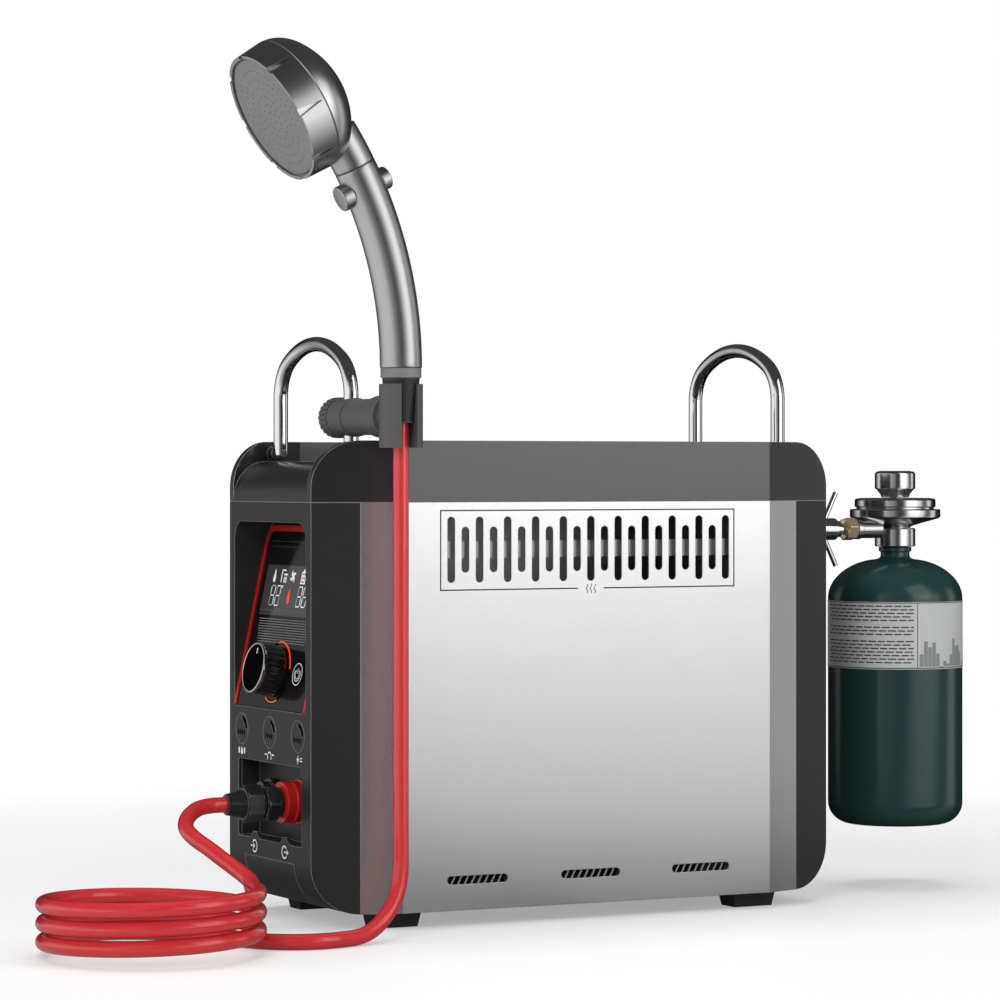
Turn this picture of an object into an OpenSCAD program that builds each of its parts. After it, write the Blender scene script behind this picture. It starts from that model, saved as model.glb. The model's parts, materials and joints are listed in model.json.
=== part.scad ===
// Portable gas water heater with a hand shower, its hose and a small gas bottle.
// The frame stands on the floor (z = 0), X runs along the housing towards the bottle, Y to the back.

/* [Housing] */
// Length of the housing, end to end
body_l = 400; // [380:1:430]
// Depth of the housing at its middle
body_w = 175; // [168:1:190]
// Depth of the flat ends, where the tapered sides stop
end_w = 136.4; // [132:0.2:142]
// Length of each tapered side
taper_l = 58.2; // [50:0.2:64]
// Height of the top edge above the floor
body_top = 325.2; // [318:0.2:345]
// Height of the joint between lid and panels
lid_z = 284; // [280:1:290]
// Radius of the housing's four rounded end corners, and length of the end covers
corner_r = 31.5; // [28:0.5:34]
// Wall of the moulded covers and lid
cover_wall = 2.5; // [2:0.1:3]
// Thickness of the sheet metal panels
sheet = 1.2; // [0.8:0.1:1.6]
// Height of the rubber feet
foot_h = 11; // [8:0.5:14]
// Length of one foot
foot_l = 34; // [26:1:40]
// Width of one foot
foot_w = 22; // [16:1:28]
// Running gap around parts that move
gap = 0.3; // [0.2:0.05:0.5]

/* [Lid and handles] */
// Depth of the channel in the lid
channel_depth = 14; // [12:0.5:16]
// Wall of the rim beside the channel
rim_wall = 6; // [4.5:0.5:8]
// Diameter of the handle bar
bar_d = 10; // [8:0.5:11]
// Distance between the two legs of a handle
handle_w = 116; // [100:1:118]
// Top of a raised handle above the floor
handle_top = 396.2; // [390:0.2:402]
// Distance of a handle from the middle of the housing
handle_x = 166; // [150:1:168]
// Corner radius of a handle
handle_corner_r = 28; // [22:1:32]
// Diameter of the handle's pivot pins
pivot_d = 5; // [4:0.5:6]

/* [Vents] */
// Distance between neighbouring exhaust slots
slot_pitch = 10.6; // [9:0.1:11.4]
// Number of exhaust slots
slot_count = 21; // [11:2:21]
// Width of an exhaust slot
slot_w = 5.6; // [4.5:0.1:6.5]
// Length of every other exhaust slot
slot_long = 44; // [38:0.5:48]
// Length of the slots between them
slot_short = 30.5; // [24:0.5:34]
// Height of the middle of the exhaust slots
slot_z = 252.2; // [248:0.2:256]
// Length of an air intake slot
intake_l = 45.3; // [36:0.1:52]
// Height of the intake slots
intake_z = 31.3; // [28:0.1:36]
// Distance between intake slots
intake_pitch = 86.2; // [70:0.2:90]

/* [Control end] */
// Half width of the control bay
bay_half = 59.7; // [56:0.1:60.5]
// Lower edge of the control bay
bay_z = 143.6; // [142.5:0.1:146]
// Upper edge of the control bay
bay_top = 270.4; // [266:0.2:272]
// Lean of the control panel
lean = 12; // [8:0.5:13]
// Thickness of the control panel
fascia_t = 3; // [2.5:0.1:3.5]
// Width of the trim beside the control panel
trim_w = 3.2; // [2:0.1:4]
// Width of the trim above the control panel
trim_top = 6.4; // [4:0.1:8]
// Diameter of the temperature knob
knob_d = 35; // [28:0.5:38]
// Length of the temperature knob
knob_l = 18; // [12:0.5:22]
// Distance of the knob's axis up the panel
knob_up = 25.6; // [23:0.1:30]
// Diameter of the knob's shaft
shaft_d = 6; // [5:0.5:8]
// Diameter of the mode button
button_d = 16; // [12:0.5:18]
// Distance of the mode button from the middle
button_y = 37; // [33:0.5:42]
// Half width of the display
display_half = 43; // [30:0.5:46]
// Distance of the display's middle from the middle of the panel
display_y = 5; // [0:0.5:6]
// Height of the display
display_h = 35; // [28:0.5:40]
// Distance of the display's lower edge up the panel
display_up = 64; // [60:0.5:72]
// Diameter of a port cap
cap_d = 21; // [18:0.5:22]
// Distance between port caps
cap_pitch = 47; // [40:0.5:49]
// Height of the port caps
cap_z = 128; // [126.5:0.5:129]
// Thickness of a port cap
cap_t = 2.8; // [2:0.1:3.2]

/* [Water connectors] */
// Half width of the connector bay
port_half = 52.8; // [50:0.2:54]
// Lower edge of the connector bay
port_z = 54.5; // [53:0.5:58]
// Upper edge of the connector bay
port_top = 107.4; // [104:0.2:110]
// Depth of the connector bay
port_depth = 16; // [14:0.5:20]
// Wall of the connector bay
port_wall = 1.6; // [1.2:0.1:2]
// Distance of each connector from the middle
connector_y = 25; // [22:0.5:28]
// Height of the connectors
connector_z = 82.6; // [80:0.2:85]
// Outside diameter of a connector's collar
collar_d = 27; // [24:0.5:30]
// Bore of a connector
socket_d = 16; // [13:0.5:18]
// How far the outlet stands out of the end
collar_out = 3; // [1:0.5:5]
// How far the inlet stays behind the end
inlet_back = 4; // [2:0.5:5]

/* [Battery door] */
// Half width of the battery door
door_half = 41; // [36:0.5:46]
// Height of the battery door's hinge
door_z = 42.3; // [41.5:0.1:43]
// Reach of the door round the bottom corner
door_reach = 22; // [18:0.5:24]

/* [Gas supply] */
// Distance of the bottle's axis from the middle of the housing
bottle_x = 302; // [300:0.5:315]
// Diameter of the gas bottle
bottle_d = 98.6; // [95:0.2:101]
// Height of the bottle's underside above the floor
bottle_z = 46; // [40:0.5:50]
// Height of the bottle's shoulder
shoulder_z = 211.3; // [206:0.1:214]
// Top of the bottle's dome
dome_z = 240.7; // [238:0.1:243]
// Wall of the bottle
bottle_wall = 1.2; // [1:0.1:2]
// Height of the gas inlet
gas_z = 262.4; // [260:0.2:264]
// Diameter of the regulator's large disc
disc_d = 66.4; // [60:0.2:70]
// Diameter of the regulator's knob
reg_knob_d = 29.8; // [26:0.2:32]
// Diameter of the gas spigot inside the wing nut
spigot_d = 8; // [7:0.5:9]

/* [Shower] */
// Distance of the upright shower from the housing's middle plane
shower_y = 135; // [134:1:142]
// Height of the clamp on the handle
clamp_z = 340.6; // [340:0.1:341.2]
// Diameter of the clamp
clamp_d = 26; // [24:0.5:27]
// Outside diameter of the cradle
cradle_d = 28.6; // [28.2:0.2:31]
// Height of the cradle
cradle_h = 41.4; // [39:0.2:44]
// Diameter of the shower's handle
wand_d = 27.5; // [24:0.5:28]
// Radius of the handle's curve
wand_r = 270; // [250:1:300]
// Angle at which the head joins the handle
wand_turn = 28; // [26:0.5:29]
// Diameter of the shower head
head_d = 91; // [84:0.5:94]
// Depth of the head's front ring
ring_h = 18.5; // [15:0.5:20]
// Depth of the head's domed back
dome_h = 31; // [29:0.5:34]
// Diameter of the spray plate
plate_d = 83; // [70:0.5:84]
// Diameter of the spray button
spray_d = 17; // [14:0.5:18]

/* [Hose] */
// Outside diameter of the hose
hose_d = 10.4; // [9:0.1:10.6]
// Radius of the coil to the middle of the hose
coil_r = 67.5; // [66:0.5:69]
// Rise of the coil in one turn
coil_pitch = 11.7; // [11.2:0.1:12.4]

/* [Hidden] */
$fn = 48;

// Colours
charcoal = [0.17, 0.17, 0.18];
lid_grey = [0.30, 0.30, 0.31];
silver = [0.80, 0.80, 0.81];
steel = [0.62, 0.63, 0.64];
chrome = [0.82, 0.83, 0.84];
red = [0.74, 0.13, 0.13];
copper = [0.72, 0.42, 0.26];
brass = [0.80, 0.62, 0.36];
black = [0.05, 0.05, 0.055];
green = [0.05, 0.22, 0.20];

// Housing
half_l = body_l / 2;
half_w = body_w / 2;
half_end = end_w / 2;
cover_x = half_l - corner_r;
taper = atan2(half_w - half_end, taper_l);
far = 500;

// Lid channel and handles
channel_z = body_top - channel_depth;
nose_r = channel_z - lid_z;
pivot_z = channel_z + bar_d / 2 + 1;
leg_y = handle_w / 2;
corner_turn = 60;
arch_r = (leg_y - handle_corner_r * (1 - cos(corner_turn))) / cos(corner_turn);
arch_rise = arch_r * (1 - sin(corner_turn));
leg_top = handle_top - bar_d / 2 - arch_rise - handle_corner_r * sin(corner_turn);
fit = 0.05;

// Control end
fascia_up = (bay_top - bay_z) / cos(lean);
port_block_t = 8;
fascia_z0 = 0.7;
fascia_z1 = fascia_up - 0.8 - trim_top;
board_x = fascia_t + 9;
board_t = 1.6;

// Connectors
bay_back = -half_l + port_depth;
flange_t = 6;
fitting_end = bay_back + port_wall + 10;

// Inside
deck_z = foot_h + sheet;
bulkhead_x = 148.5;
bulkhead_t = 1.5;
fan_half = 46;
fan_z = deck_z + 12;
fan_h = 25;
rail_z = fan_z + fan_h + 1;
rail_t = 2;
tray_z = rail_z + rail_t;
tray_h = 14;
fire_x = 88;
fire_y = 46;
chamber_z = tray_z + tray_h;
chamber_h = 124;
fins_z = chamber_z + chamber_h;
fins_h = 32;
tube_z = fins_z + fins_h / 2;
tube_y = connector_y;
tube_d = 10;
tube_end = fire_x + 6;
hood_z = fins_z + fins_h;
hood_top = lid_z - 2;
hood_x = slot_count * slot_pitch / 2 + 2;
pipe_x = fire_x + 25;
bend = 12;
thin = 1;

// Gas
wing_x = half_l + 37;
wing_l = 16;
brass_x = wing_x + wing_l + 3.8;
brass_l = 9.8;
stub_d = 16;
stem_z = dome_z + 8.5;
stem_top = 262.8;
neck_d = 24;
valve_d = 16;
disc_z = stem_top + 8.1;
disc_t = 5.9;
cap_disc_d = disc_d - 7;
cap_disc_z = disc_z + disc_t + 1.5;
cap_disc_t = 6.6;
reg_top = cap_disc_z + cap_disc_t;
spindle_d = 8;
spindle_h = 15;

// Shower
clamp_x = -handle_x;
cradle_z = clamp_z - 20.6;
cradle_top = cradle_z + cradle_h;
cone_z = clamp_z - 4.6;
cone_top_r = 12.3;
cone_low_r = 9.2;
cone_h = 29.3;
collar_h = 6.5;
wand_z = cone_z + cone_h + collar_h;
wand_c = [clamp_x - wand_r, -shower_y, wand_z];
neck_turn = wand_turn + 6;
head_tilt = 60;
head_c = [clamp_x - 91.7, -shower_y, wand_z + 158.4];
head_r = head_d / 2;
shoulder_r = 22;
crown_r = (pow(head_r - shoulder_r, 2) + dome_h * dome_h - shoulder_r * shoulder_r) / (2 * (dome_h - shoulder_r));
shoulder_turn = atan2(crown_r - dome_h, head_r - shoulder_r);
button_turn = 25.5;
button_seat = wand_d / 2 - 4.75;
button_travel = 2.5;
notches = 8;

// Hose
hose_r = hose_d / 2;
hose_z = 5.25;
coil_c = [-340, -135];
coil_a0 = 18;
coil_a1 = 1070;
coil_steps = 24;
coil_end = [-270.9, -131.7];
drop_route = [
    [-166, -135, 336], [-166, -135, 320], [-166, -135, 295], [-166, -135, 270], [-166, -135, 245],
    [-166, -135, 220], [-166, -135, 195], [-166, -135, 170], [-166, -135, 145], [-166, -135, 120],
    [-166, -135, 95], [-166, -135, 70], [-166, -135, 48], [-167.5, -135.5, 37], [-171.5, -137, 27],
    [-178, -139, 18], [-186.5, -142, 11], [-196, -145.5, 6.8], [-206.5, -149, 5.25],
    [-214, -151.5, 5.25], [-222, -154, 5.25], [-233.5, -155, 5.25], [-245, -152.5, 5.25],
    [-255.5, -147, 5.25], [-264.5, -139, 5.25], [-270.5, -129, 5.25]];
lead_route = [
    [-268, -126, 42], [-268.5, -115, 45.5], [-271.5, -104, 50], [-275.5, -94, 55],
    [-280, -84, 60.5], [-283.5, -75, 64.5], [-285, -66, 68], [-284, -56, 71.5],
    [-279.5, -46, 75.5], [-272.5, -37.5, 79], [-264, -30.5, 81.5], [-254, -26.5, 82.5]];

// The frame's origin is the middle of the whole object without its hose
reach_left = head_c[0] - head_r * cos(head_tilt);
reach_right = bottle_x + bottle_d / 2;
screw_head = 1.5;
reach_front = -shower_y - head_r;
reach_back = half_w + screw_head;
home = [-(reach_left + reach_right) / 2, -(reach_front + reach_back) / 2, 0];

// ---------- shared shapes ----------

module at_home() {
    translate(home) children();
}

// Plan of the housing, drawn in by t
function plan(t) =
    let (x = half_l - t, y = half_w - t)
    let (xf = half_l - taper_l - t * tan(taper / 2), ye = half_end - t * cos(taper) / (1 + sin(taper)))
    [[x, ye], [xf, y], [-xf, y], [-x, ye], [-x, -ye], [-xf, -y], [xf, -y], [x, -ye]];

// Plan of the lid's channel, open at both ends
function channel_plan(t) =
    let (x = half_l + 1, y = half_w - t, xf = half_l - taper_l - t * tan(taper / 2))
    let (ye = half_end - t / cos(taper) - tan(taper))
    [[x, ye], [xf, y], [-xf, y], [-x, ye], [-x, -ye], [-xf, -y], [xf, -y], [x, -ye]];

function arc(c, r, a0, a1, n) = [for (i = [0:n]) [c[0] + r * cos(a0 + (a1 - a0) * i / n),
    c[1] + r * sin(a0 + (a1 - a0) * i / n)]];

// Rectangle from [x0, y0] to [x1, y1] with rounded corners
module round_rect(x0, y0, x1, y1, r) {
    translate([x0 + r, y0]) square([x1 - x0 - 2 * r, y1 - y0]);
    translate([x0, y0 + r]) square([x1 - x0, y1 - y0 - 2 * r]);
    for (x = [x0 + r, x1 - r], y = [y0 + r, y1 - r])
        translate([x, y]) circle(r);
}

// Rectangle with its two upper corners rounded
module round_top(half, y0, y1, r) {
    translate([-half, y0]) square([2 * half, y1 - y0 - r]);
    translate([-half + r, y0]) square([2 * (half - r), y1 - y0]);
    for (x = [-half + r, half - r])
        translate([x, y1 - r]) circle(r);
}

// A flat shape in X and Z, made solid along Y
module along_y(length) {
    rotate([90, 0, 0]) linear_extrude(length, center = true) children();
}

// A flat shape in Y and Z, made solid from x0 to x1
module along_x(x0, x1) {
    translate([x0, 0, 0]) rotate([90, 0, 90]) linear_extrude(x1 - x0) children();
}

module rod_x(x0, x1, d) {
    translate([x0, 0, 0]) rotate([0, 90, 0]) cylinder(h = x1 - x0, d = d);
}

module rod_y(y0, y1, d) {
    translate([0, y0, 0]) rotate([-90, 0, 0]) cylinder(h = y1 - y0, d = d);
}

module box(p0, p1) {
    translate(p0) cube(p1 - p0);
}

// The housing's outer shape, drawn in by t
module housing(t) {
    intersection() {
        translate([0, 0, foot_h + t - 0.01]) linear_extrude(body_top) polygon(plan(t));
        along_y(far) round_rect(-half_l + t, foot_h + t, half_l - t, body_top - t, corner_r - t);
    }
}

module elbow(r, d, turn) {
    rotate_extrude(angle = turn) translate([r, 0]) circle(d = d);
}

// ---------- housing ----------

module base_pan() {
    color(steel)
    intersection() {
        translate([0, 0, foot_h]) linear_extrude(sheet) polygon(plan(sheet));
        box([-cover_x, -far, 0], [cover_x, far, far]);
    }
}

// The sheet that wraps one long side and its tapers
module side_sheet() {
    intersection() {
        difference() {
            linear_extrude(lid_z - foot_h) polygon(plan(0));
            translate([0, 0, -1]) linear_extrude(body_top) polygon(plan(sheet));
        }
        box([-cover_x, 10, -1], [cover_x, far, far]);
    }
}

module upright_slot(length, width) {
    along_y(sheet * 8) round_rect(-width / 2, -length / 2, width / 2, length / 2, width / 2 - 0.01);
}

module intake_slots() {
    for (i = [-1:1])
        translate([i * intake_pitch, -half_w, intake_z]) rotate([0, 90, 0]) upright_slot(intake_l, slot_w);
}

module front_panel() {
    color(silver)
    difference() {
        translate([0, 0, foot_h]) mirror([0, 1, 0]) side_sheet();
        for (i = [0:slot_count - 1])
            translate([(i - (slot_count - 1) / 2) * slot_pitch, -half_w, slot_z])
                upright_slot(i % 2 == 0 ? slot_long : slot_short, slot_w);
        intake_slots();
    }
}

screw_x = 135;
function screw_places() = [for (x = [-screw_x, screw_x], z = [44, 150, 262]) [x, half_w, z]];

module rear_panel() {
    color(silver)
    difference() {
        translate([0, 0, foot_h]) side_sheet();
        rotate([0, 0, 180]) intake_slots();
        for (p = screw_places())
            translate(p) rod_y(-sheet * 2, 1, 3.2);
    }
}

module cover_screws() {
    color(black)
    for (p = screw_places())
        translate(p) {
            rod_y(0, screw_head, 6.4);
            rod_y(-9, 0, 3);
        }
}

module end_shell() {
    intersection() {
        difference() {
            housing(0);
            housing(cover_wall);
        }
        box([cover_x, -far, 0], [far, far, lid_z]);
    }
}

// Places a child on the leaning control panel: x into the housing, z up the panel
module on_fascia() {
    translate([-half_l, 0, bay_z]) rotate([0, lean, 0]) children();
}

bay_corner = 12;

// Everything in front of the control panel
module bay_hollow() {
    intersection() {
        along_y(far) polygon([[-half_l - 9, bay_z], [-half_l, bay_z],
            [-half_l + (bay_top - bay_z) * tan(lean), bay_top], [-half_l - 9, bay_top]]);
        along_x(-half_l - 20, 0) round_top(bay_half, bay_z, bay_top, bay_corner);
    }
}

module fascia_seat() {
    on_fascia() along_x(-0.01, fascia_t) round_top(bay_half, 0, fascia_up - 0.8, bay_corner);
}

function cap_y(i) = i * cap_pitch;

// Outline of the connector bay, with a pointed step under each connector
function port_outline() =
    let (b = 8, t = 3, h = 4.5, y = connector_y, z = port_z)
    [[-port_half, z], [-y - b, z], [-y - t, z + h], [-y + t, z + h], [-y + b, z],
     [y - b, z], [y - t, z + h], [y + t, z + h], [y + b, z], [port_half, z],
     [port_half, port_top], [-port_half, port_top]];

module door_region(slack) {
    box([-half_l - 1, -door_half - slack, 0], [-half_l + door_reach + slack, door_half + slack, door_z + slack]);
}

module left_end_cover() {
    color(charcoal)
    difference() {
        union() {
            difference() {
                mirror([1, 0, 0]) end_shell();
                along_x(-half_l - 5, -half_l + 5) polygon(port_outline());
                door_region(gap);
            }
            box([-half_l + 1, -bay_half - 2, bay_z - 2], [-cover_x, bay_half + 2, bay_top + 2]);
            box([-half_l + 1, -62, cap_z - 13], [-half_l + port_block_t, 62, bay_z - 2]);
        }
        bay_hollow();
        fascia_seat();
        box([-half_l - 5, -bay_half + 5.7, bay_z + 6.4], [0, bay_half - 5.7, bay_top - 8]);
        for (i = [-1:1])
            translate([0, cap_y(i), cap_z]) {
                rod_x(-half_l - 1, -half_l + cap_t + gap, cap_d + 2 * gap);
                rod_x(-half_l, -half_l + 20, cap_d - 7);
            }
    }
}

module right_end_cover() {
    color(charcoal)
    difference() {
        end_shell();
        translate([0, 0, gas_z]) rod_x(half_l - 9, half_l + 9, stub_d);
    }
}

module lid_body() {
    difference() {
        intersection() {
            housing(0);
            box([-far, -far, lid_z], [far, far, far]);
        }
        // channel with rounded noses
        intersection() {
            translate([0, 0, lid_z - 1]) linear_extrude(body_top) polygon(channel_plan(rim_wall));
            along_y(far) difference() {
                translate([-half_l - 2, lid_z - 1]) square([body_l + 4, body_top]);
                round_rect(-half_l, lid_z - nose_r - 9, half_l, channel_z, nose_r);
            }
        }
        // hollow underside
        intersection() {
            housing(cover_wall);
            along_y(far) round_rect(-half_l + cover_wall, foot_h, half_l - cover_wall,
                channel_z - cover_wall, nose_r - cover_wall);
        }
    }
}

module lid() {
    color(lid_grey)
    union() {
        lid_body();
        for (x = [-handle_x, handle_x], s = [-1, 1])
            translate([x, 0, pivot_z]) scale([1, s, 1]) {
                boss_root = half_w - (handle_x - half_l + taper_l) * tan(taper) - rim_wall / 2;
                rod_y(leg_y + bar_d / 2 + 0.4, boss_root, pivot_d + 4);
                rod_y(leg_y - bar_d / 2 - 0.5, leg_y + bar_d, pivot_d);
            }
    }
}

module feet() {
    color(black)
    for (x = [-138, 138], y = [-62, 62])
        translate([x, y, 0]) {
            cut = 2;
            along_x(-foot_l / 2 + cut, foot_l / 2 - cut)
                polygon([[-foot_w / 2 + cut, 0], [foot_w / 2 - cut, 0], [foot_w / 2, foot_h], [-foot_w / 2, foot_h]]);
            intersection() {
                along_x(-foot_l / 2, foot_l / 2)
                    polygon([[-foot_w / 2 + cut, 0], [foot_w / 2 - cut, 0], [foot_w / 2, foot_h], [-foot_w / 2, foot_h]]);
                along_y(foot_w * 2)
                    polygon([[-foot_l / 2 + cut, 0], [foot_l / 2 - cut, 0], [foot_l / 2, foot_h], [-foot_l / 2, foot_h]]);
            }
        }
}

// One upright handle in the Y and Z plane, standing on its two pivots
module handle() {
    difference() {
        union() {
            for (s = [-1, 1])
                translate([0, s * leg_y, pivot_z]) {
                    sphere(d = bar_d);
                    cylinder(h = leg_top - pivot_z, d = bar_d);
                }
            translate([0, 0, leg_top]) rotate([90, 0, 90]) {
                translate([leg_y - handle_corner_r, 0]) elbow(handle_corner_r, bar_d, corner_turn);
                translate([-leg_y + handle_corner_r, 0]) rotate([0, 0, 180 - corner_turn])
                    elbow(handle_corner_r, bar_d, corner_turn);
                translate([0, handle_corner_r * sin(corner_turn) + arch_rise - arch_r])
                    rotate([0, 0, corner_turn]) elbow(arch_r, bar_d, 180 - 2 * corner_turn);
            }
        }
        for (s = [-1, 1])
            translate([0, s * leg_y, pivot_z]) rod_y(-bar_d, bar_d, pivot_d + 2 * fit);
    }
}

module left_handle() {
    color(chrome) translate([-handle_x, 0, 0]) handle();
}

module right_handle() {
    color(chrome) translate([handle_x, 0, 0]) handle();
}

// ---------- control end ----------

module fascia_outline(inset_side, z0, z1, r) {
    round_top(bay_half - inset_side, z0, z1, r);
}

module bay_trim() {
    color(red)
    on_fascia() difference() {
        along_x(-1, fascia_t) round_top(bay_half - 0.15, fascia_z0, fascia_up - 3, bay_corner - 0.15);
        along_x(-2, fascia_t + 1) round_top(bay_half - trim_w, -1, fascia_z1, bay_corner - trim_w);
    }
}

module control_fascia() {
    color(black)
    on_fascia() difference() {
        along_x(0, fascia_t) round_top(bay_half - trim_w, fascia_z0, fascia_z1, bay_corner - trim_w);
        box([-1, display_y - display_half, display_up], [1.2, display_y + display_half, display_up + display_h]);
        translate([0, 0, knob_up]) rod_x(-1, fascia_t + 1, shaft_d + 0.4);
        translate([0, -button_y, knob_up]) rod_x(-1, fascia_t + 1, button_d + 2 * gap);
    }
}

module display_lens() {
    color([0.16, 0.17, 0.18])
    on_fascia() box([0, display_y - display_half, display_up],
        [1.2, display_y + display_half, display_up + display_h]);
}

module control_board() {
    color([0.08, 0.30, 0.16])
    on_fascia() {
        box([board_x, -50, 10], [board_x + board_t, 50, fascia_up - 12]);
        for (y = [-46, 46], z = [14, fascia_up - 16])
            translate([0, y, z]) rod_x(fascia_t, board_x, 5);
        // encoder and its shaft
        box([fascia_t, -7, knob_up - 7], [board_x, 7, knob_up + 7]);
        translate([0, 0, knob_up]) rod_x(-knob_l * 0.6, fascia_t + 1, shaft_d);
        // display module
        box([fascia_t, display_y - display_half, display_up],
            [board_x, display_y + display_half, display_up + display_h]);
        // key switch
        translate([0, -button_y, knob_up]) box([fascia_t + 3.3, -4, -4], [board_x, 4, 4]);
    }
}

module temperature_knob() {
    color(black)
    on_fascia() translate([0, 0, knob_up]) difference() {
        union() {
            rod_x(-knob_l, -gap, knob_d - 1.2);
            for (a = [0:15:345])
                rotate([a, 0, 0]) box([-knob_l + 2, -1.2, 0], [-1.5, 1.2, knob_d / 2]);
        }
        rod_x(-knob_l * 0.6 - 0.5, 0, shaft_d + 2 * fit);
    }
}

module mode_button() {
    color(black)
    on_fascia() translate([0, -button_y, knob_up]) rod_x(-1.2, fascia_t + 1.2, button_d);
}

module port_cap(i) {
    color(charcoal)
    translate([-half_l, cap_y(i), cap_z]) difference() {
        rod_x(0, cap_t, cap_d);
        // finger notch
        intersection() {
            rod_x(-1, 1.2, cap_d - 3);
            difference() {
                box([-1, -far, 0], [1.2, 1, far]);
                translate([0, 2.2, -1.4]) rod_x(-2, 2, cap_d - 4.4);
            }
        }
    }
}

module pump_port_cap() {
    port_cap(1);
}

module aux_port_cap() {
    port_cap(0);
}

module power_port_cap() {
    port_cap(-1);
}

module port_sockets() {
    color(steel)
    for (i = [-1:1])
        translate([0, cap_y(i), cap_z]) difference() {
            rod_x(-half_l + cap_t + 1, -half_l + 15, cap_d - 7);
            rod_x(-half_l, -half_l + 12, 5.5 + i);
        }
}

// ---------- water connectors ----------

module connector_bay() {
    x0 = -half_l + cover_wall;
    color(charcoal)
    difference() {
        box([x0, -port_half - port_wall, port_z - port_wall],
            [bay_back + port_wall, port_half + port_wall, port_top + port_wall]);
        box([x0 - 1, -port_half, port_z], [bay_back, port_half, port_top]);
        for (s = [-1, 1])
            translate([0, s * connector_y, connector_z]) rod_x(bay_back - 1, bay_back + 5, socket_d + 4);
    }
}

// Collar, flange and tail of one connector; x runs into the housing
module connector_fitting(front, d) {
    difference() {
        union() {
            rod_x(front, bay_back - flange_t, d);
            rod_x(bay_back - flange_t, bay_back, d + 4);
            rod_x(bay_back, fitting_end, socket_d + 4);
        }
        rod_x(front - 1, bay_back - 2, socket_d);
        rod_x(front, fitting_end + 1, 8);
    }
}

module water_inlet_fitting() {
    color(black) translate([0, connector_y, connector_z]) connector_fitting(-half_l + inlet_back, socket_d + 4);
}

module water_outlet_fitting() {
    color(red) translate([0, -connector_y, connector_z]) connector_fitting(-half_l - collar_out, collar_d);
}

module battery_door() {
    color(charcoal)
    intersection() {
        difference() {
            housing(0);
            housing(cover_wall);
        }
        door_region(0);
    }
}

// ---------- inside ----------

module chassis_frame() {
    window_z = [60, 112];
    color(steel)
    difference() {
        union() {
            intersection() {
                union() {
                    for (s = [-1, 1])
                        translate([s * (bulkhead_x + bulkhead_t / 2), 0, 0]) box([-bulkhead_t / 2, -far, 0],
                            [bulkhead_t / 2, far, lid_z]);
                    // blocks for the rear panel's screws
                    for (p = screw_places())
                        box([p[0] < 0 ? -bulkhead_x : p[0] - 6, half_w - sheet - 8, p[2] - 6],
                            [p[0] < 0 ? p[0] + 6 : bulkhead_x, half_w, p[2] + 6]);
                }
                translate([0, 0, deck_z]) linear_extrude(body_top) polygon(plan(sheet));
            }
            for (s = [-1, 1])
                box([-bulkhead_x, s * 50 - 6, rail_z], [bulkhead_x, s * 50 + 6, rail_z + rail_t]);
        }
        box([-bulkhead_x - 5, -45, window_z[0]], [-bulkhead_x + 1, 45, window_z[1]]);
        translate([0, 0, valve_z]) rod_x(bulkhead_x - 1, bulkhead_x + 5, gas_pipe_d);
        for (p = screw_places())
            translate(p) rod_y(-12, 1, 3.2);
    }
}

module fan_housing() {
    color(black)
    translate([0, 0, fan_z]) {
        difference() {
            box([-fan_half, -fan_half, 0], [fan_half, fan_half, fan_h]);
            translate([0, 0, -1]) cylinder(h = fan_h + 2, r = fan_half - 3);
        }
        // spider, pin and standoffs
        box([-fan_half + 2, -3, 0], [fan_half - 2, 3, 2.5]);
        box([-3, -fan_half + 2, 0], [3, fan_half - 2, 2.5]);
        cylinder(h = fan_h - 4, d = 5);
        for (x = [-1, 1], y = [-1, 1])
            translate([x * (fan_half - 6), y * (fan_half - 6), deck_z - fan_z]) cylinder(h = fan_z - deck_z, d = 8);
    }
}

module fan_rotor() {
    blades = 7;
    color(charcoal)
    translate([0, 0, fan_z + 3]) difference() {
        union() {
            cylinder(h = fan_h - 6, r = 17);
            intersection() {
                translate([0, 0, 1]) cylinder(h = fan_h - 8, r = fan_half - 5);
                for (i = [0:blades - 1])
                    rotate([0, 0, i * 360 / blades]) translate([0, 0, (fan_h - 6) / 2]) rotate([35, 0, 0])
                        box([10, -14, -0.8], [fan_half, 14, 0.8]);
            }
        }
        translate([0, 0, -1]) cylinder(h = fan_h, d = 5 + 2 * fit);
    }
}

module burner_tray() {
    color(steel)
    difference() {
        box([-fire_x, -fire_y, tray_z], [fire_x, fire_y, chamber_z]);
        box([-fire_x + thin, -fire_y + thin, tray_z + thin], [fire_x - thin, fire_y - thin, far]);
        cylinder(h = far, r = 38);
    }
}

module burner_bars() {
    color(chrome)
    for (i = [-3:3])
        translate([i * 23, 0, tray_z + thin]) difference() {
            box([-6, -fire_y + thin, 0], [6, fire_y - thin, tray_h - 3]);
            box([-2, -fire_y + 8, tray_h - 8], [2, fire_y - 8, tray_h]);
        }
}

module combustion_chamber() {
    color(copper)
    difference() {
        box([-fire_x, -fire_y, chamber_z], [fire_x, fire_y, fins_z]);
        box([-fire_x + thin, -fire_y + thin, 0], [fire_x - thin, fire_y - thin, far]);
        for (x = [-24, 24])
            translate([x, -fire_y, chamber_z + 8]) rod_y(-5, 5, 6);
    }
}

module igniter_electrodes() {
    color([0.9, 0.9, 0.88])
    for (x = [-24, 24])
        translate([x, -fire_y, chamber_z + 8]) {
            rod_y(-14, 6, 6);
            rod_y(6, 22, 2);
        }
}

function tube_ys() = [for (i = [-3:2:3]) i * tube_y / 3];

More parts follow.
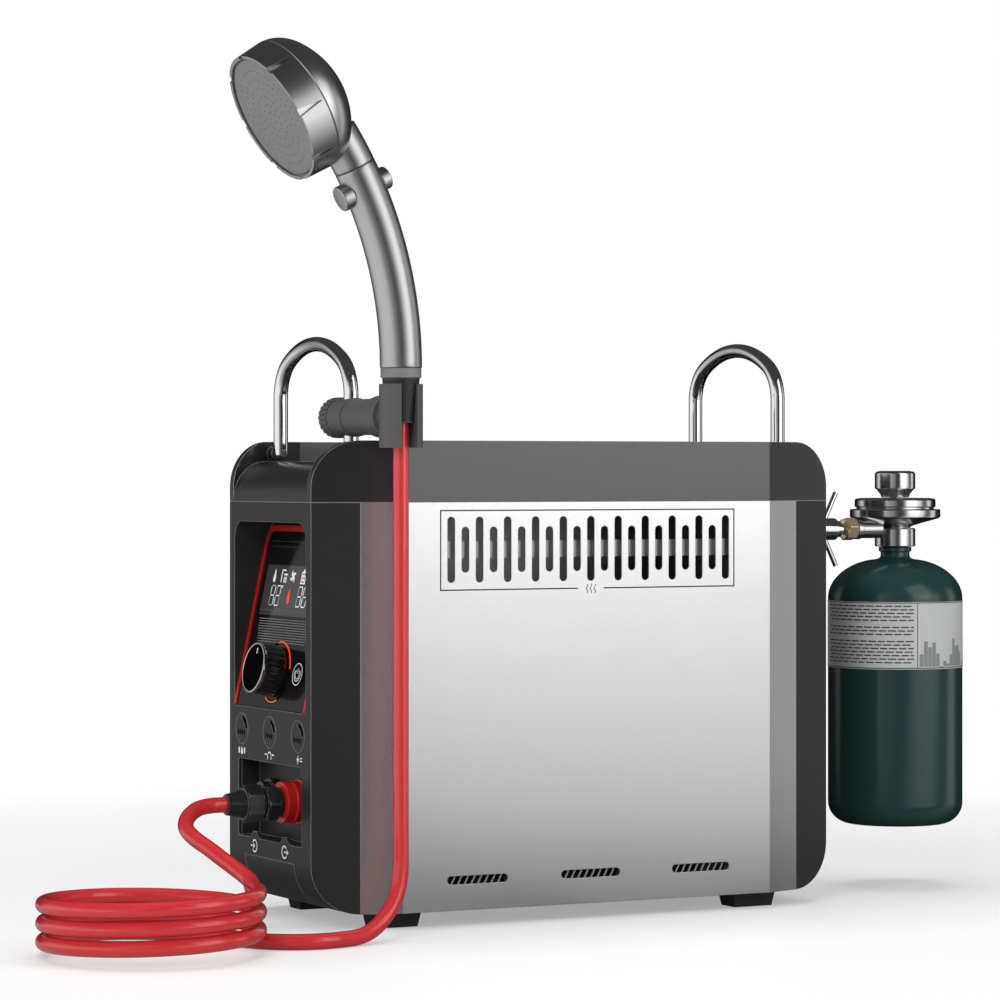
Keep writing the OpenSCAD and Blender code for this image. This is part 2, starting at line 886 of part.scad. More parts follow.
module heat_exchanger() {
    fins = 21;
    color(copper)
    difference() {
        union() {
            difference() {
                box([-fire_x, -fire_y, fins_z], [fire_x, fire_y, hood_z]);
                box([-fire_x + thin, -fire_y + thin, 0], [fire_x - thin, fire_y - thin, far]);
            }
            for (i = [0:fins - 1])
                translate([(i - (fins - 1) / 2) * 8, 0, 0])
                    box([-0.4, -fire_y, fins_z + 4], [0.4, fire_y, hood_z - 4]);
        }
        for (y = tube_ys())
            translate([0, y, tube_z]) rod_x(-fire_x - 1, fire_x + 1, tube_d);
    }
}

module exchanger_tubes() {
    ys = tube_ys();
    color(copper) {
        for (y = ys)
            translate([0, y, tube_z]) rod_x(-tube_end, tube_end, tube_d);
        // headers that join neighbouring tubes
        for (i = [0, 2])
            box([fire_x + 3, ys[i] - 7, tube_z - 7], [tube_end + 4, ys[i + 1] + 7, tube_z + 7]);
        box([-tube_end - 4, ys[1] - 7, tube_z - 7], [-fire_x - 3, ys[2] + 7, tube_z + 7]);
    }
}

module exhaust_hood() {
    front = -half_w + sheet;
    color(steel) {
        difference() {
            box([-hood_x, front, hood_z], [hood_x, fire_y + 1, hood_top]);
            box([-hood_x + thin, front - 1, hood_z + thin], [hood_x - thin, fire_y, hood_top - thin]);
            box([-fire_x + thin, -fire_y + thin, 0], [fire_x - thin, fire_y - thin, hood_z + 5]);
        }
        // bar behind the slots
        box([-hood_x + thin, front + 3, slot_z - 5.8], [hood_x - thin, front + 5, slot_z + 5.8]);
    }
}

module flow_sensor() {
    color(charcoal)
    translate([0, connector_y, connector_z]) difference() {
        union() {
            rod_x(fitting_end, -bulkhead_x - bulkhead_t - 1, 24);
            box([fitting_end + 2, -8, 0], [-bulkhead_x - bulkhead_t - 2, 8, 18]);
        }
        rod_x(fitting_end - 1, -bulkhead_x, 8);
    }
}

// Pipe from x0 at the connectors to the exchanger's tube
module water_pipe(x0) {
    color(copper) {
        translate([0, 0, connector_z]) rod_x(x0, -pipe_x - bend, tube_d);
        translate([-pipe_x - bend, 0, connector_z + bend]) rotate([90, 0, 0]) rotate([0, 0, -90])
            elbow(bend, tube_d, 90);
        translate([-pipe_x, 0, connector_z + bend]) cylinder(h = tube_z - connector_z - 2 * bend, d = tube_d);
        translate([-pipe_x + bend, 0, tube_z - bend]) rotate([90, 0, 0]) rotate([0, 0, 90])
            elbow(bend, tube_d, 90);
        translate([0, 0, tube_z]) rod_x(-pipe_x + bend, -tube_end, tube_d);
    }
}

module cold_pipe() {
    translate([0, connector_y, 0]) water_pipe(-bulkhead_x - bulkhead_t - 1);
}

module hot_pipe() {
    translate([0, -connector_y, 0]) water_pipe(fitting_end);
}

module battery_pack() {
    color([0.1, 0.25, 0.5])
    box([-cover_x + 0.5, -36, deck_z], [-bulkhead_x - bulkhead_t, 36, deck_z + 36]);
}

// ---------- gas ----------

gas_pipe_d = 8;
valve_z = 80;
gas_pipe_x = half_l - 27;

module gas_inlet_boss() {
    color(chrome)
    translate([0, 0, gas_z]) difference() {
        union() {
            rod_x(half_l - cover_wall, wing_x - gap, stub_d);
            rod_x(half_l - cover_wall - 4, half_l - cover_wall, stub_d + 8);
            rod_x(wing_x - gap, brass_x, spigot_d);
        }
        rod_x(0, far, 4);
    }
}

module gas_supply_pipe() {
    x0 = half_l - cover_wall - 4;
    color(brass) {
        translate([0, 0, gas_z]) rod_x(gas_pipe_x + bend, x0, gas_pipe_d);
        translate([gas_pipe_x + bend, 0, gas_z - bend]) rotate([90, 0, 0]) rotate([0, 0, 90])
            elbow(bend, gas_pipe_d, 90);
        translate([gas_pipe_x, 0, valve_z + bend]) cylinder(h = gas_z - valve_z - 2 * bend, d = gas_pipe_d);
        translate([gas_pipe_x - bend, 0, valve_z + bend]) rotate([90, 0, 0]) rotate([0, 0, -90])
            elbow(bend, gas_pipe_d, 90);
        translate([0, 0, valve_z]) rod_x(bulkhead_x, gas_pipe_x - bend, gas_pipe_d);
    }
}

module gas_valve() {
    color(steel) {
        box([bulkhead_x - 34, -18, tray_z], [bulkhead_x, 18, tray_z + 44]);
        translate([bulkhead_x - 17, 0, tray_z + 44]) cylinder(h = 14, d = 22);
        translate([0, 0, tray_z + 7]) rod_x(fire_x, bulkhead_x - 34, gas_pipe_d);
    }
}

module wing_nut() {
    color(chrome)
    translate([0, 0, gas_z]) difference() {
        union() {
            rod_x(wing_x, wing_x + wing_l - 4, stub_d);
            rod_x(wing_x + wing_l - 4, wing_x + wing_l, stub_d - 4);
            for (a = [0, 180])
                rotate([a, 0, 0]) translate([wing_x + 3, 0, stub_d / 2 - 3]) rotate([0, 26, 0])
                    cylinder(h = 24, d = 3.7);
        }
        rod_x(0, far, spigot_d + 2 * fit);
    }
}

module brass_nut() {
    color(brass)
    translate([brass_x, 0, gas_z]) difference() {
        rotate([0, 90, 0]) cylinder(h = brass_l, d = 17.6, $fn = 6);
        rod_x(-1, brass_l + 1, 4);
    }
}

module regulator_body() {
    color(steel)
    difference() {
        union() {
            translate([bottle_x, 0, 0]) {
                translate([0, 0, stem_z]) cylinder(h = stem_top - stem_z, d = reg_knob_d);
                translate([0, 0, stem_top]) cylinder(h = disc_z - stem_top, d1 = 21.6, d2 = disc_d - 2);
                translate([0, 0, disc_z]) cylinder(h = disc_t, d = disc_d);
                translate([0, 0, disc_z + disc_t]) cylinder(h = 1.5, d = cap_disc_d - 3);
                translate([0, 0, cap_disc_z]) cylinder(h = cap_disc_t, d = cap_disc_d);
                translate([0, 0, reg_top]) cylinder(h = spindle_h, d = spindle_d);
            }
            translate([0, 0, gas_z]) rod_x(brass_x + brass_l, bottle_x, 14);
        }
        translate([bottle_x, 0, stem_z - 1]) cylinder(h = 11, d = valve_d + 2 * fit);
        translate([0, 0, gas_z]) rod_x(brass_x + brass_l - 1, bottle_x, 4);
    }
}

module regulator_knob() {
    color(chrome)
    translate([bottle_x, 0, reg_top + gap]) difference() {
        union() {
            cylinder(h = 6.3, d1 = 20.7, d2 = reg_knob_d - 3);
            translate([0, 0, 6.3]) cylinder(h = 13.3, d = reg_knob_d);
        }
        translate([0, 0, -1]) cylinder(h = spindle_h + 1, d = spindle_d + 2 * fit);
    }
}

function bottle_outline(t) =
    let (r = bottle_d / 2 - t, edge = 16 - t, z0 = bottle_z + t, neck = neck_d / 2 - t)
    concat([[0, z0 + 3]], [[r - edge - 6, z0 + 0.8]], arc([r - edge, z0 + edge], edge, -90, 0, 6),
        [for (i = [0:9]) [neck + (r - neck) * cos(i * 10), shoulder_z + (dome_z - t - shoulder_z) * sin(i * 10)]],
        [[0, dome_z - t]]);

module gas_bottle() {
    color(green)
    translate([bottle_x, 0, 0]) difference() {
        union() {
            rotate_extrude() polygon(bottle_outline(0));
            translate([0, 0, dome_z - 1]) cylinder(h = stem_z - dome_z + 1 - gap, d = neck_d);
            translate([0, 0, dome_z]) cylinder(h = stem_z - dome_z + 9, d = valve_d);
        }
        rotate_extrude() polygon(bottle_outline(bottle_wall));
        translate([0, 0, dome_z - 9]) cylinder(h = 40, d = 4);
    }
}

// ---------- shower ----------

module shower_clamp() {
    color(lid_grey)
    translate([clamp_x, 0, clamp_z]) difference() {
        union() {
            rod_y(-104, -67, clamp_d - 2);
            rod_y(-67, -47 - gap, clamp_d);
        }
        translate([0, -leg_y, -far / 2]) cylinder(h = far, d = bar_d);
        rod_y(-51.5, -40, 8 + 2 * fit);
    }
}

module clamp_knob() {
    color(lid_grey)
    translate([clamp_x, 0, clamp_z]) {
        rod_y(-47, -34, clamp_d - 0.4);
        rod_y(-51, -46, 8);
        for (a = [0:15:345])
            rotate([0, a, 0]) box([-1.1, -46, 0], [1.1, -35, clamp_d / 2 + 0.7]);
    }
}

// Tapered hollow that the shower's cone drops into, grown by g
module cone_shape(g) {
    translate([0, 0, cone_z]) cylinder(h = cone_h, r1 = cone_low_r + g, r2 = cone_top_r + g);
}

module shower_cradle() {
    color(lid_grey)
    translate([clamp_x, -shower_y, 0]) difference() {
        union() {
            translate([0, 0, cradle_z]) cylinder(h = cradle_h, d = cradle_d);
            translate([0, 0, clamp_z]) {
                rod_y(4, shower_y - 121, 22);
                rod_y(shower_y - 121, shower_y - 104, clamp_d + 1.6);
            }
        }
        cone_shape(gap);
        translate([0, 0, cradle_z - 1]) cylinder(h = cone_z - cradle_z + 1.01, r = cone_low_r - 0.2);
        box([-5.8, -far, cradle_z - 1], [5.8, 0, cradle_top + 1]);
    }
}

module hose_cone() {
    color(charcoal)
    translate([clamp_x, -shower_y, 0]) {
        cone_shape(0);
        translate([0, 0, cone_z + cone_h]) cylinder(h = collar_h, d = wand_d - 0.8);
    }
}

// Places a child on the handle's curve; x is outward from the curve's centre
module on_wand(turn) {
    translate(wand_c) rotate([90, 0, 0]) rotate([0, 0, turn]) translate([wand_r, 0, 0]) children();
}

module wand_sweep(turn, d) {
    translate(wand_c) rotate([90, 0, 0]) elbow(wand_r, d, turn);
}

module at_head() {
    translate(head_c) rotate([0, head_tilt, 0]) children();
}

function dome_outline(t) =
    concat([[0, ring_h]], arc([head_r - shoulder_r, ring_h], shoulder_r - t, 0, shoulder_turn, 5),
        [for (p = arc([0, ring_h + dome_h - crown_r], crown_r - t, shoulder_turn, 90, 6)) p]);

module wand_handle() {
    color(chrome)
    difference() {
        wand_sweep(neck_turn, wand_d);
        translate(wand_c) rotate([90, 0, 0]) rotate([0, 0, 1]) elbow(wand_r, wand_d - 12, wand_turn - 1);
        on_wand(button_turn) {
            rod_x(-far / 8, far / 8, 9 + 2 * fit);
            rod_x(-far / 8, -button_seat, spray_d + 2 * gap);
            rod_x(button_seat, far / 8, spray_d - 2 + 2 * gap);
        }
        at_head() rotate_extrude() polygon(dome_outline(0));
    }
}

module head_shell() {
    color(chrome)
    at_head() difference() {
        rotate_extrude() polygon(dome_outline(0));
        rotate_extrude() polygon(dome_outline(2.5));
    }
}

module head_ring() {
    face_r = head_r - 1.2;
    color(chrome)
    at_head() difference() {
        cylinder(h = ring_h, r1 = face_r, r2 = head_r);
        translate([0, 0, -1]) cylinder(h = 3, d = plate_d + 1);
        translate([0, 0, 1.5]) cylinder(h = ring_h, d = plate_d);
        for (i = [0:notches - 1])
            rotate([0, 0, i * 360 / notches]) translate([face_r - 1.9, 0, 0]) rotate([90, 0, 90])
                linear_extrude(9) polygon([[-2.8, -1], [2.8, -1], [0, ring_h - 1]]);
    }
}

module spray_plate() {
    color(steel)
    at_head() translate([0, 0, 1.5]) cylinder(h = 3, d = plate_d);
}

module spray_button() {
    color(chrome)
    on_wand(button_turn) {
        inner = button_seat + button_travel + gap;
        rod_x(-wand_d / 2 - 5.5, -inner, spray_d);
        rod_x(-inner, inner, 9);
        rod_x(inner, wand_d / 2 + 4.3, spray_d - 2);
    }
}

// ---------- hose ----------

tail_x = -half_l - 43;

module hose_connector() {
    color(black)
    translate([0, -connector_y, connector_z]) {
        rod_x(-half_l - collar_out, bay_back - 4, socket_d - 2 * fit);
        rod_x(-half_l - collar_out - 3, -half_l - collar_out, 20);
        translate([-half_l - 17, 0, 0]) rotate([0, 90, 0]) cylinder(h = 11, d = 24, $fn = 6);
        rod_x(-half_l - 20, -half_l - 17, 19);
        translate([-half_l - 31, 0, 0]) rotate([0, 90, 0]) rotate([0, 0, 30]) cylinder(h = 11, d = 24, $fn = 6);
        translate([tail_x, 0, 0]) rotate([0, 90, 0]) cylinder(h = 12, d1 = 15, d2 = 19);
    }
}

function unit(v) = v / norm(v);

// Directions at each point of a route, given those at its two ends
function headings(p, first, last) = [for (i = [0:len(p) - 1])
    i == 0 ? first : i == len(p) - 1 ? last : unit(p[i + 1] - p[i - 1])];

// Rings of a tube: each ring's first side is carried along without twist
function carry(n, t) = unit(n - (n * t) * t);
function normals(h, n0, i = 0) = i == len(h) ? [] :
    let (n = carry(n0, h[i])) concat([n], normals(h, n, i + 1));

module tube(p, h, r, sides, n0) {
    ns = normals(h, n0);
    rings = len(p);
    pts = [for (i = [0:rings - 1], k = [0:sides - 1])
        p[i] + r * (cos(k * 360 / sides) * ns[i] + sin(k * 360 / sides) * cross(h[i], ns[i]))];
    walls = [for (i = [0:rings - 2], k = [0:sides - 1], t = [0, 1])
        let (a = i * sides + k, b = i * sides + (k + 1) % sides)
        t == 0 ? [a, a + sides, b] : [b, a + sides, b + sides]];
    polyhedron(pts, concat(walls, [[for (k = [0:sides - 1]) k]],
        [[for (k = [sides - 1:-1:0]) (rings - 1) * sides + k]]));
}

// The coil climbs evenly and runs straight at both ends
coil_n = round((coil_a1 - coil_a0) * coil_steps / 360);
function coil_point(a) = [coil_c[0] + coil_r * cos(a), coil_c[1] + coil_r * sin(a),
    hose_z + coil_pitch * (a - coil_a0) / 360];
function coil_heading(a) = unit([-sin(a), cos(a), coil_pitch / (2 * PI * coil_r)]);
coil_turns = [for (i = [0:coil_n]) coil_a0 + (coil_a1 - coil_a0) * i / coil_n];
coil_in = [cos(coil_a0 + 90), sin(coil_a0 + 90), 0];
coil_out = coil_heading(coil_a1);
coil_start = coil_point(coil_a0) - hose_d * coil_in;
coil_finish = coil_point(coil_a1) + hose_d * coil_out;
coil_path = concat([coil_start], [for (a = coil_turns) coil_point(a)], [coil_finish]);
coil_headings = concat([coil_in], [coil_in], [for (i = [1:coil_n]) coil_heading(coil_turns[i])], [coil_out]);

// Least distance between the middles of turns that aren't neighbours, less the hose
coil_gap = min([for (i = [0:len(coil_path) - 1], j = [i + 8:1:len(coil_path) - 1])
    norm(coil_path[i] - coil_path[j])]) - hose_d;
echo(coil_gap = coil_gap, coil_start = coil_start, coil_finish = coil_finish);

drop_path = concat(drop_route, [coil_start]);
lead_path = concat([coil_finish], lead_route, [[tail_x, -connector_y, connector_z]]);

module hose_drop() {
    color(red) tube(drop_path, headings(drop_path, [0, 0, -1], coil_in), hose_r, 8, unit([1, 1, 0]));
}

module hose_coil() {
    color(red) tube(coil_path, coil_headings, hose_r, 6, [0, 0, 1]);
}

module hose_lead() {
    color(red) tube(lead_path, headings(lead_path, coil_out, [1, 0, 0]), hose_r, 8, [0, 0, 1]);
}

at_home() base_pan();
at_home() front_panel();
at_home() rear_panel();
at_home() left_end_cover();
at_home() right_end_cover();
at_home() lid();
at_home() feet();
at_home() left_handle();
at_home() right_handle();
at_home() bay_trim();
at_home() control_fascia();
at_home() display_lens();
at_home() control_board();
at_home() temperature_knob();
at_home() mode_button();
at_home() port_sockets();
at_home() pump_port_cap();
at_home() aux_port_cap();
at_home() power_port_cap();
at_home() connector_bay();
at_home() water_inlet_fitting();
at_home() water_outlet_fitting();
at_home() battery_door();
at_home() battery_pack();
at_home() chassis_frame();
at_home() fan_housing();
at_home() fan_rotor();
at_home() burner_tray();
at_home() burner_bars();
at_home() combustion_chamber();
at_home() heat_exchanger();
at_home() exchanger_tubes();
at_home() exhaust_hood();
at_home() igniter_electrodes();
at_home() flow_sensor();
at_home() cold_pipe();
at_home() hot_pipe();
at_home() gas_inlet_boss();
at_home() gas_supply_pipe();
at_home() gas_valve();
at_home() cover_screws();
at_home() wing_nut();
at_home() brass_nut();
at_home() regulator_body();
at_home() regulator_knob();
at_home() gas_bottle();
at_home() shower_clamp();
at_home() clamp_knob();
at_home() shower_cradle();
at_home() hose_cone();
at_home() wand_handle();
at_home() head_shell();
at_home() head_ring();
at_home() spray_plate();
at_home() spray_button();
at_home() hose_connector();
at_home() hose_lead();
at_home() hose_coil();
at_home() hose_drop();
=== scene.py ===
import json
import math

import bmesh
import bpy
from mathutils import Matrix, Vector


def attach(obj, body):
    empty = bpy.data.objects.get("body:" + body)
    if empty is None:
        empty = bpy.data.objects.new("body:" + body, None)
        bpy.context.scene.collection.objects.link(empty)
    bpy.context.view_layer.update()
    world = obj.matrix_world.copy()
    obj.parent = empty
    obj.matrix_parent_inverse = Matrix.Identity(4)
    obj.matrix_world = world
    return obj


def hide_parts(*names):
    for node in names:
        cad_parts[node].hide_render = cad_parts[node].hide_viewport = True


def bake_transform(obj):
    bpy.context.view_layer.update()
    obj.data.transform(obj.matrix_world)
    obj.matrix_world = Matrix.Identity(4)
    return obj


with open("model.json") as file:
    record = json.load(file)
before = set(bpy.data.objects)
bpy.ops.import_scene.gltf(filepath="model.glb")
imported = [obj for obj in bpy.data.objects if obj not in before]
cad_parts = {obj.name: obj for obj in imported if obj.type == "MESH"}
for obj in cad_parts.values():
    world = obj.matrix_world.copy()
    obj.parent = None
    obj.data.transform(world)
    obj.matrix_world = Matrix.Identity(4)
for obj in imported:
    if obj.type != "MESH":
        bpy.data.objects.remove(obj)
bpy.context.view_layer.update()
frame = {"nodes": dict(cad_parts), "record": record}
scene = bpy.context.scene

# Positions are given in millimetres from the middle of the housing, on the floor
HOME = Vector((-35.425, 45.75, 0))
CONTROL_X, FRONT_Y, REAR_Y = -200, -87.5, 87.5
CONN_Y, CONN_Z = -25, 82.6
HOSE_END_X = -243
CAP_PITCH, CAP_Z, CAP_NOTCH_X = 47, 128, -198.8
GAS_X, GAS_Z = 302, 262.4
WAND_X, WAND_Y = -166, -135
KNOB_UP = 25.6
HEAD_TILT = 60


def P(x, y, z):
    return (Vector((x, y, z)) + HOME) / 1000


def place(origin, x_axis, z_axis):
    """A frame whose origin is in millimetres and whose axes are given."""
    x = Vector(x_axis).normalized()
    z = Vector(z_axis).normalized()
    y = z.cross(x)
    m = Matrix((x, y, z)).transposed().to_4x4()
    m.translation = Vector(origin)
    return m


# ---------- camera ----------

cam_data = bpy.data.cameras.new("camera")
cam = bpy.data.objects.new("camera", cam_data)
scene.collection.objects.link(cam)
cam.location = P(-1245.7, -2388.1, 305.75)
cam.rotation_euler = (math.radians(90), 0, math.radians(-27.08))
cam_data.sensor_width = 36
cam_data.lens = 138.4
cam_data.shift_y = -0.0303
cam_data.clip_start = 0.1
cam_data.clip_end = 50
scene.camera = cam
scene.view_settings.view_transform = "Standard"

# ---------- materials ----------


def nodes_of(m):
    m.use_nodes = True
    return m.node_tree.nodes, m.node_tree.links


def finish_mat(name, color, rough, metal=0.0, vary=0.06, grain=600.0, bump=0.03, rough_vary=0.06,
               edge=0.35, coat=0.0, coat_rough=0.1, spec=0.5, edge_highlight=0.0, sub=0.0, stretch=(1, 1, 1),
               ior=1.5):
    """A surface with slight colour and gloss variation, a fine grain, softened edges and, where asked, a
    painted highlight along its edges.
    """
    m = bpy.data.materials.new(name)
    ns, ln = nodes_of(m)
    b = ns["Principled BSDF"]
    b.inputs["Metallic"].default_value = metal
    b.inputs["Specular IOR Level"].default_value = spec
    b.inputs["IOR"].default_value = ior
    b.inputs["Coat Weight"].default_value = coat
    b.inputs["Coat Roughness"].default_value = coat_rough
    if sub:
        b.inputs["Subsurface Weight"].default_value = sub
        b.inputs["Subsurface Radius"].default_value = (0.004, 0.001, 0.001)
        b.inputs["Subsurface Scale"].default_value = 1.0
    co = ns.new("ShaderNodeTexCoord")
    mp = ns.new("ShaderNodeMapping")
    mp.inputs["Scale"].default_value = stretch
    ln.new(co.outputs["Object"], mp.inputs["Vector"])
    cloud = ns.new("ShaderNodeTexNoise")
    cloud.inputs["Scale"].default_value = 14
    cloud.inputs["Detail"].default_value = 4
    ln.new(mp.outputs["Vector"], cloud.inputs["Vector"])
    fine = ns.new("ShaderNodeTexNoise")
    fine.inputs["Scale"].default_value = grain
    fine.inputs["Detail"].default_value = 3
    ln.new(mp.outputs["Vector"], fine.inputs["Vector"])
    mix = ns.new("ShaderNodeMix")
    mix.data_type = "RGBA"
    c = Vector(color)
    mix.inputs["A"].default_value = (*(c * (1 - vary)), 1)
    mix.inputs["B"].default_value = (*[min(1, v) for v in c * (1 + vary)], 1)
    both = ns.new("ShaderNodeMath")
    both.operation = "MULTIPLY_ADD"
    both.inputs[1].default_value = 0.5
    ln.new(fine.outputs["Fac"], both.inputs[0])
    half = ns.new("ShaderNodeMath")
    half.operation = "MULTIPLY"
    half.inputs[1].default_value = 0.5
    ln.new(cloud.outputs["Fac"], half.inputs[0])
    ln.new(half.outputs[0], both.inputs[2])
    ln.new(both.outputs[0], mix.inputs["Factor"])
    last = mix.outputs["Result"]
    if edge_highlight:
        # painted highlight: paler along rounded edges, hollow ones and raised ones alike
        geo = ns.new("ShaderNodeNewGeometry")
        round_edge = ns.new("ShaderNodeBevel")
        round_edge.samples = 4
        round_edge.inputs["Radius"].default_value = edge / 1000
        dot = ns.new("ShaderNodeVectorMath")
        dot.operation = "DOT_PRODUCT"
        ln.new(round_edge.outputs["Normal"], dot.inputs[0])
        ln.new(geo.outputs["Normal"], dot.inputs[1])
        ramp = ns.new("ShaderNodeMapRange")
        ramp.inputs["From Min"].default_value = 0.985
        ramp.inputs["From Max"].default_value = 0.90
        ln.new(dot.outputs["Value"], ramp.inputs["Value"])
        pale = ns.new("ShaderNodeMix")
        pale.data_type = "RGBA"
        pale.inputs["B"].default_value = (*[min(1, v + edge_highlight) for v in c], 1)
        ln.new(ramp.outputs["Result"], pale.inputs["Factor"])
        ln.new(last, pale.inputs["A"])
        last = pale.outputs["Result"]
    ln.new(last, b.inputs["Base Color"])
    r = ns.new("ShaderNodeMapRange")
    r.inputs["To Min"].default_value = max(0.02, rough - rough_vary)
    r.inputs["To Max"].default_value = rough + rough_vary
    ln.new(cloud.outputs["Fac"], r.inputs["Value"])
    ln.new(r.outputs["Result"], b.inputs["Roughness"])
    bev = ns.new("ShaderNodeBevel")
    bev.samples = 4
    bev.inputs["Radius"].default_value = edge / 1000
    bp = ns.new("ShaderNodeBump")
    bp.inputs["Strength"].default_value = bump
    bp.inputs["Distance"].default_value = 0.0004
    ln.new(fine.outputs["Fac"], bp.inputs["Height"])
    ln.new(bev.outputs["Normal"], bp.inputs["Normal"])
    ln.new(bp.outputs["Normal"], b.inputs["Normal"])
    return m


def lamp_mat(name, color, strength):
    m = bpy.data.materials.new(name)
    ns, ln = nodes_of(m)
    b = ns["Principled BSDF"]
    b.inputs["Roughness"].default_value = 0.4
    co = ns.new("ShaderNodeTexCoord")
    noise = ns.new("ShaderNodeTexNoise")
    noise.inputs["Scale"].default_value = 400
    ln.new(co.outputs["Object"], noise.inputs["Vector"])
    mix = ns.new("ShaderNodeMix")
    mix.data_type = "RGBA"
    mix.inputs["A"].default_value = (*[v * 0.85 for v in color], 1)
    mix.inputs["B"].default_value = (*color, 1)
    ln.new(noise.outputs["Fac"], mix.inputs["Factor"])
    ln.new(mix.outputs["Result"], b.inputs["Base Color"])
    ln.new(mix.outputs["Result"], b.inputs["Emission Color"])
    b.inputs["Emission Strength"].default_value = strength
    return m


silver = finish_mat("silver_paint", (0.64, 0.64, 0.645), 0.24, metal=0.88, vary=0.03, grain=2600,
                    bump=0.10, edge=0.5, rough_vary=0.02)
dark = finish_mat("dark_plastic", (0.020, 0.020, 0.021), 0.42, vary=0.10, grain=1800, bump=0.08,
                  edge=0.7, edge_highlight=0.30, spec=0.35)
grey = finish_mat("grey_plastic", (0.070, 0.070, 0.071), 0.50, vary=0.10, grain=1800, bump=0.08,
                  edge=0.6, edge_highlight=0.06)
lid_mat = finish_mat("lid_plastic", (0.017, 0.017, 0.018), 0.24, vary=0.08, grain=1800, bump=0.06,
                     edge=0.8, edge_highlight=0.30, spec=0.9, rough_vary=0.03)
gloss = finish_mat("gloss_black", (0.004, 0.004, 0.005), 0.10, vary=0.2, grain=90, bump=0.0, edge=0.3,
                   coat=0.1, rough_vary=0.02, spec=0.45)
knob_black = finish_mat("knob_black", (0.006, 0.006, 0.006), 0.14, vary=0.2, grain=90, bump=0.0,
                        edge=0.2, coat=0.8, coat_rough=0.05, rough_vary=0.02, spec=0.8)
# also laid as painted shade in the finger notches of the port caps
deep = finish_mat("deep_black", (0.0025, 0.0025, 0.0025), 0.30, vary=0.2, grain=200, bump=0.0, ior=1.0,
                  rough_vary=0.03)
glass = finish_mat("display_glass", (0.045, 0.047, 0.05), 0.10, vary=0.08, grain=120, bump=0.0,
                   coat=0.6, rough_vary=0.02)
red = finish_mat("red_plastic", (0.42, 0.012, 0.012), 0.30, vary=0.10, grain=900, bump=0.02, edge=0.4,
                 coat=0.2)
hose_red = finish_mat("hose_red", (0.52, 0.022, 0.025), 0.30, vary=0.08, grain=160, bump=0.03,
                      coat=0.8, coat_rough=0.05, sub=0.08, rough_vary=0.04)
black = finish_mat("connector_black", (0.012, 0.012, 0.013), 0.24, vary=0.15, grain=900, bump=0.05,
                   edge=0.5, edge_highlight=0.25, spec=0.7)
rubber = finish_mat("rubber_black", (0.022, 0.022, 0.022), 0.75, vary=0.2, grain=1400, bump=0.3)
chrome = finish_mat("chrome", (0.82, 0.82, 0.83), 0.05, metal=1, vary=0.01, grain=60, bump=0.0,
                    rough_vary=0.015, edge=0.25)
satin = finish_mat("satin_chrome", (0.50, 0.50, 0.505), 0.36, metal=1, vary=0.03, grain=700, bump=0.015,
                   rough_vary=0.03)
shell = finish_mat("head_chrome", (0.60, 0.60, 0.605), 0.33, metal=1, vary=0.03, grain=700, bump=0.015,
                   rough_vary=0.03)
plate = finish_mat("spray_grey", (0.235, 0.237, 0.24), 0.38, metal=0.3, vary=0.04, grain=1200, bump=0.03)
steel = finish_mat("sheet_steel", (0.42, 0.42, 0.43), 0.38, metal=0.9, vary=0.10, grain=500, bump=0.06,
                   stretch=(1, 8, 1))
zinc = finish_mat("cast_zinc", (0.72, 0.72, 0.72), 0.20, metal=1, vary=0.06, grain=900, bump=0.05)
copper = finish_mat("copper", (0.62, 0.27, 0.13), 0.30, metal=1, vary=0.15, grain=300, bump=0.04)
brass = finish_mat("brass", (0.96, 0.72, 0.47), 0.20, metal=0.85, vary=0.08, grain=700, bump=0.04)
ceramic = finish_mat("ceramic", (0.75, 0.74, 0.70), 0.3, vary=0.04, grain=200, bump=0.02)
board = finish_mat("circuit_green", (0.02, 0.12, 0.05), 0.35, vary=0.2, grain=300, bump=0.05)
sleeve = finish_mat("battery_blue", (0.03, 0.08, 0.22), 0.4, vary=0.1, grain=200, bump=0.03)
screw = finish_mat("dark_screws", (0.03, 0.03, 0.03), 0.35, metal=0.6, vary=0.15, grain=700,
                   bump=0.05, edge_highlight=0.06)
bottle = finish_mat("bottle_green", (0.011, 0.036, 0.034), 0.22, vary=0.08, grain=420, bump=0.05,
                    coat=0.15, coat_rough=0.08, rough_vary=0.03, spec=0.5)
label = finish_mat("label_paper", (0.40, 0.41, 0.405), 0.45, vary=0.03, grain=900, bump=0.02)
label_dark = finish_mat("label_print", (0.045, 0.05, 0.05), 0.45, vary=0.05, grain=900, bump=0.01)
label_tint = finish_mat("label_tint", (0.17, 0.19, 0.18), 0.45, vary=0.05)
collar_grey = finish_mat("collar_grey", (0.16, 0.16, 0.163), 0.42, vary=0.06, grain=900, bump=0.03,
                         edge=0.4)
line_dim = finish_mat("line_dim", (0.035, 0.035, 0.035), 0.35, vary=0.05, grain=500, bump=0.0)
print_black = finish_mat("print_black", (0.03, 0.03, 0.03), 0.5, vary=0.05, grain=500, bump=0.0)
print_white = lamp_mat("print_white", (0.80, 0.80, 0.80), 0.0)
glow_white = lamp_mat("glow_white", (0.62, 0.63, 0.64), 0.45)
glow_dim = lamp_mat("glow_dim", (0.30, 0.31, 0.31), 0.25)
glow_red = lamp_mat("glow_red", (0.85, 0.03, 0.02), 0.8)
glow_orange = lamp_mat("glow_orange", (0.75, 0.24, 0.05), 0.45)
line_grey = finish_mat("line_grey", (0.16, 0.16, 0.16), 0.35, vary=0.05, grain=500, bump=0.0)

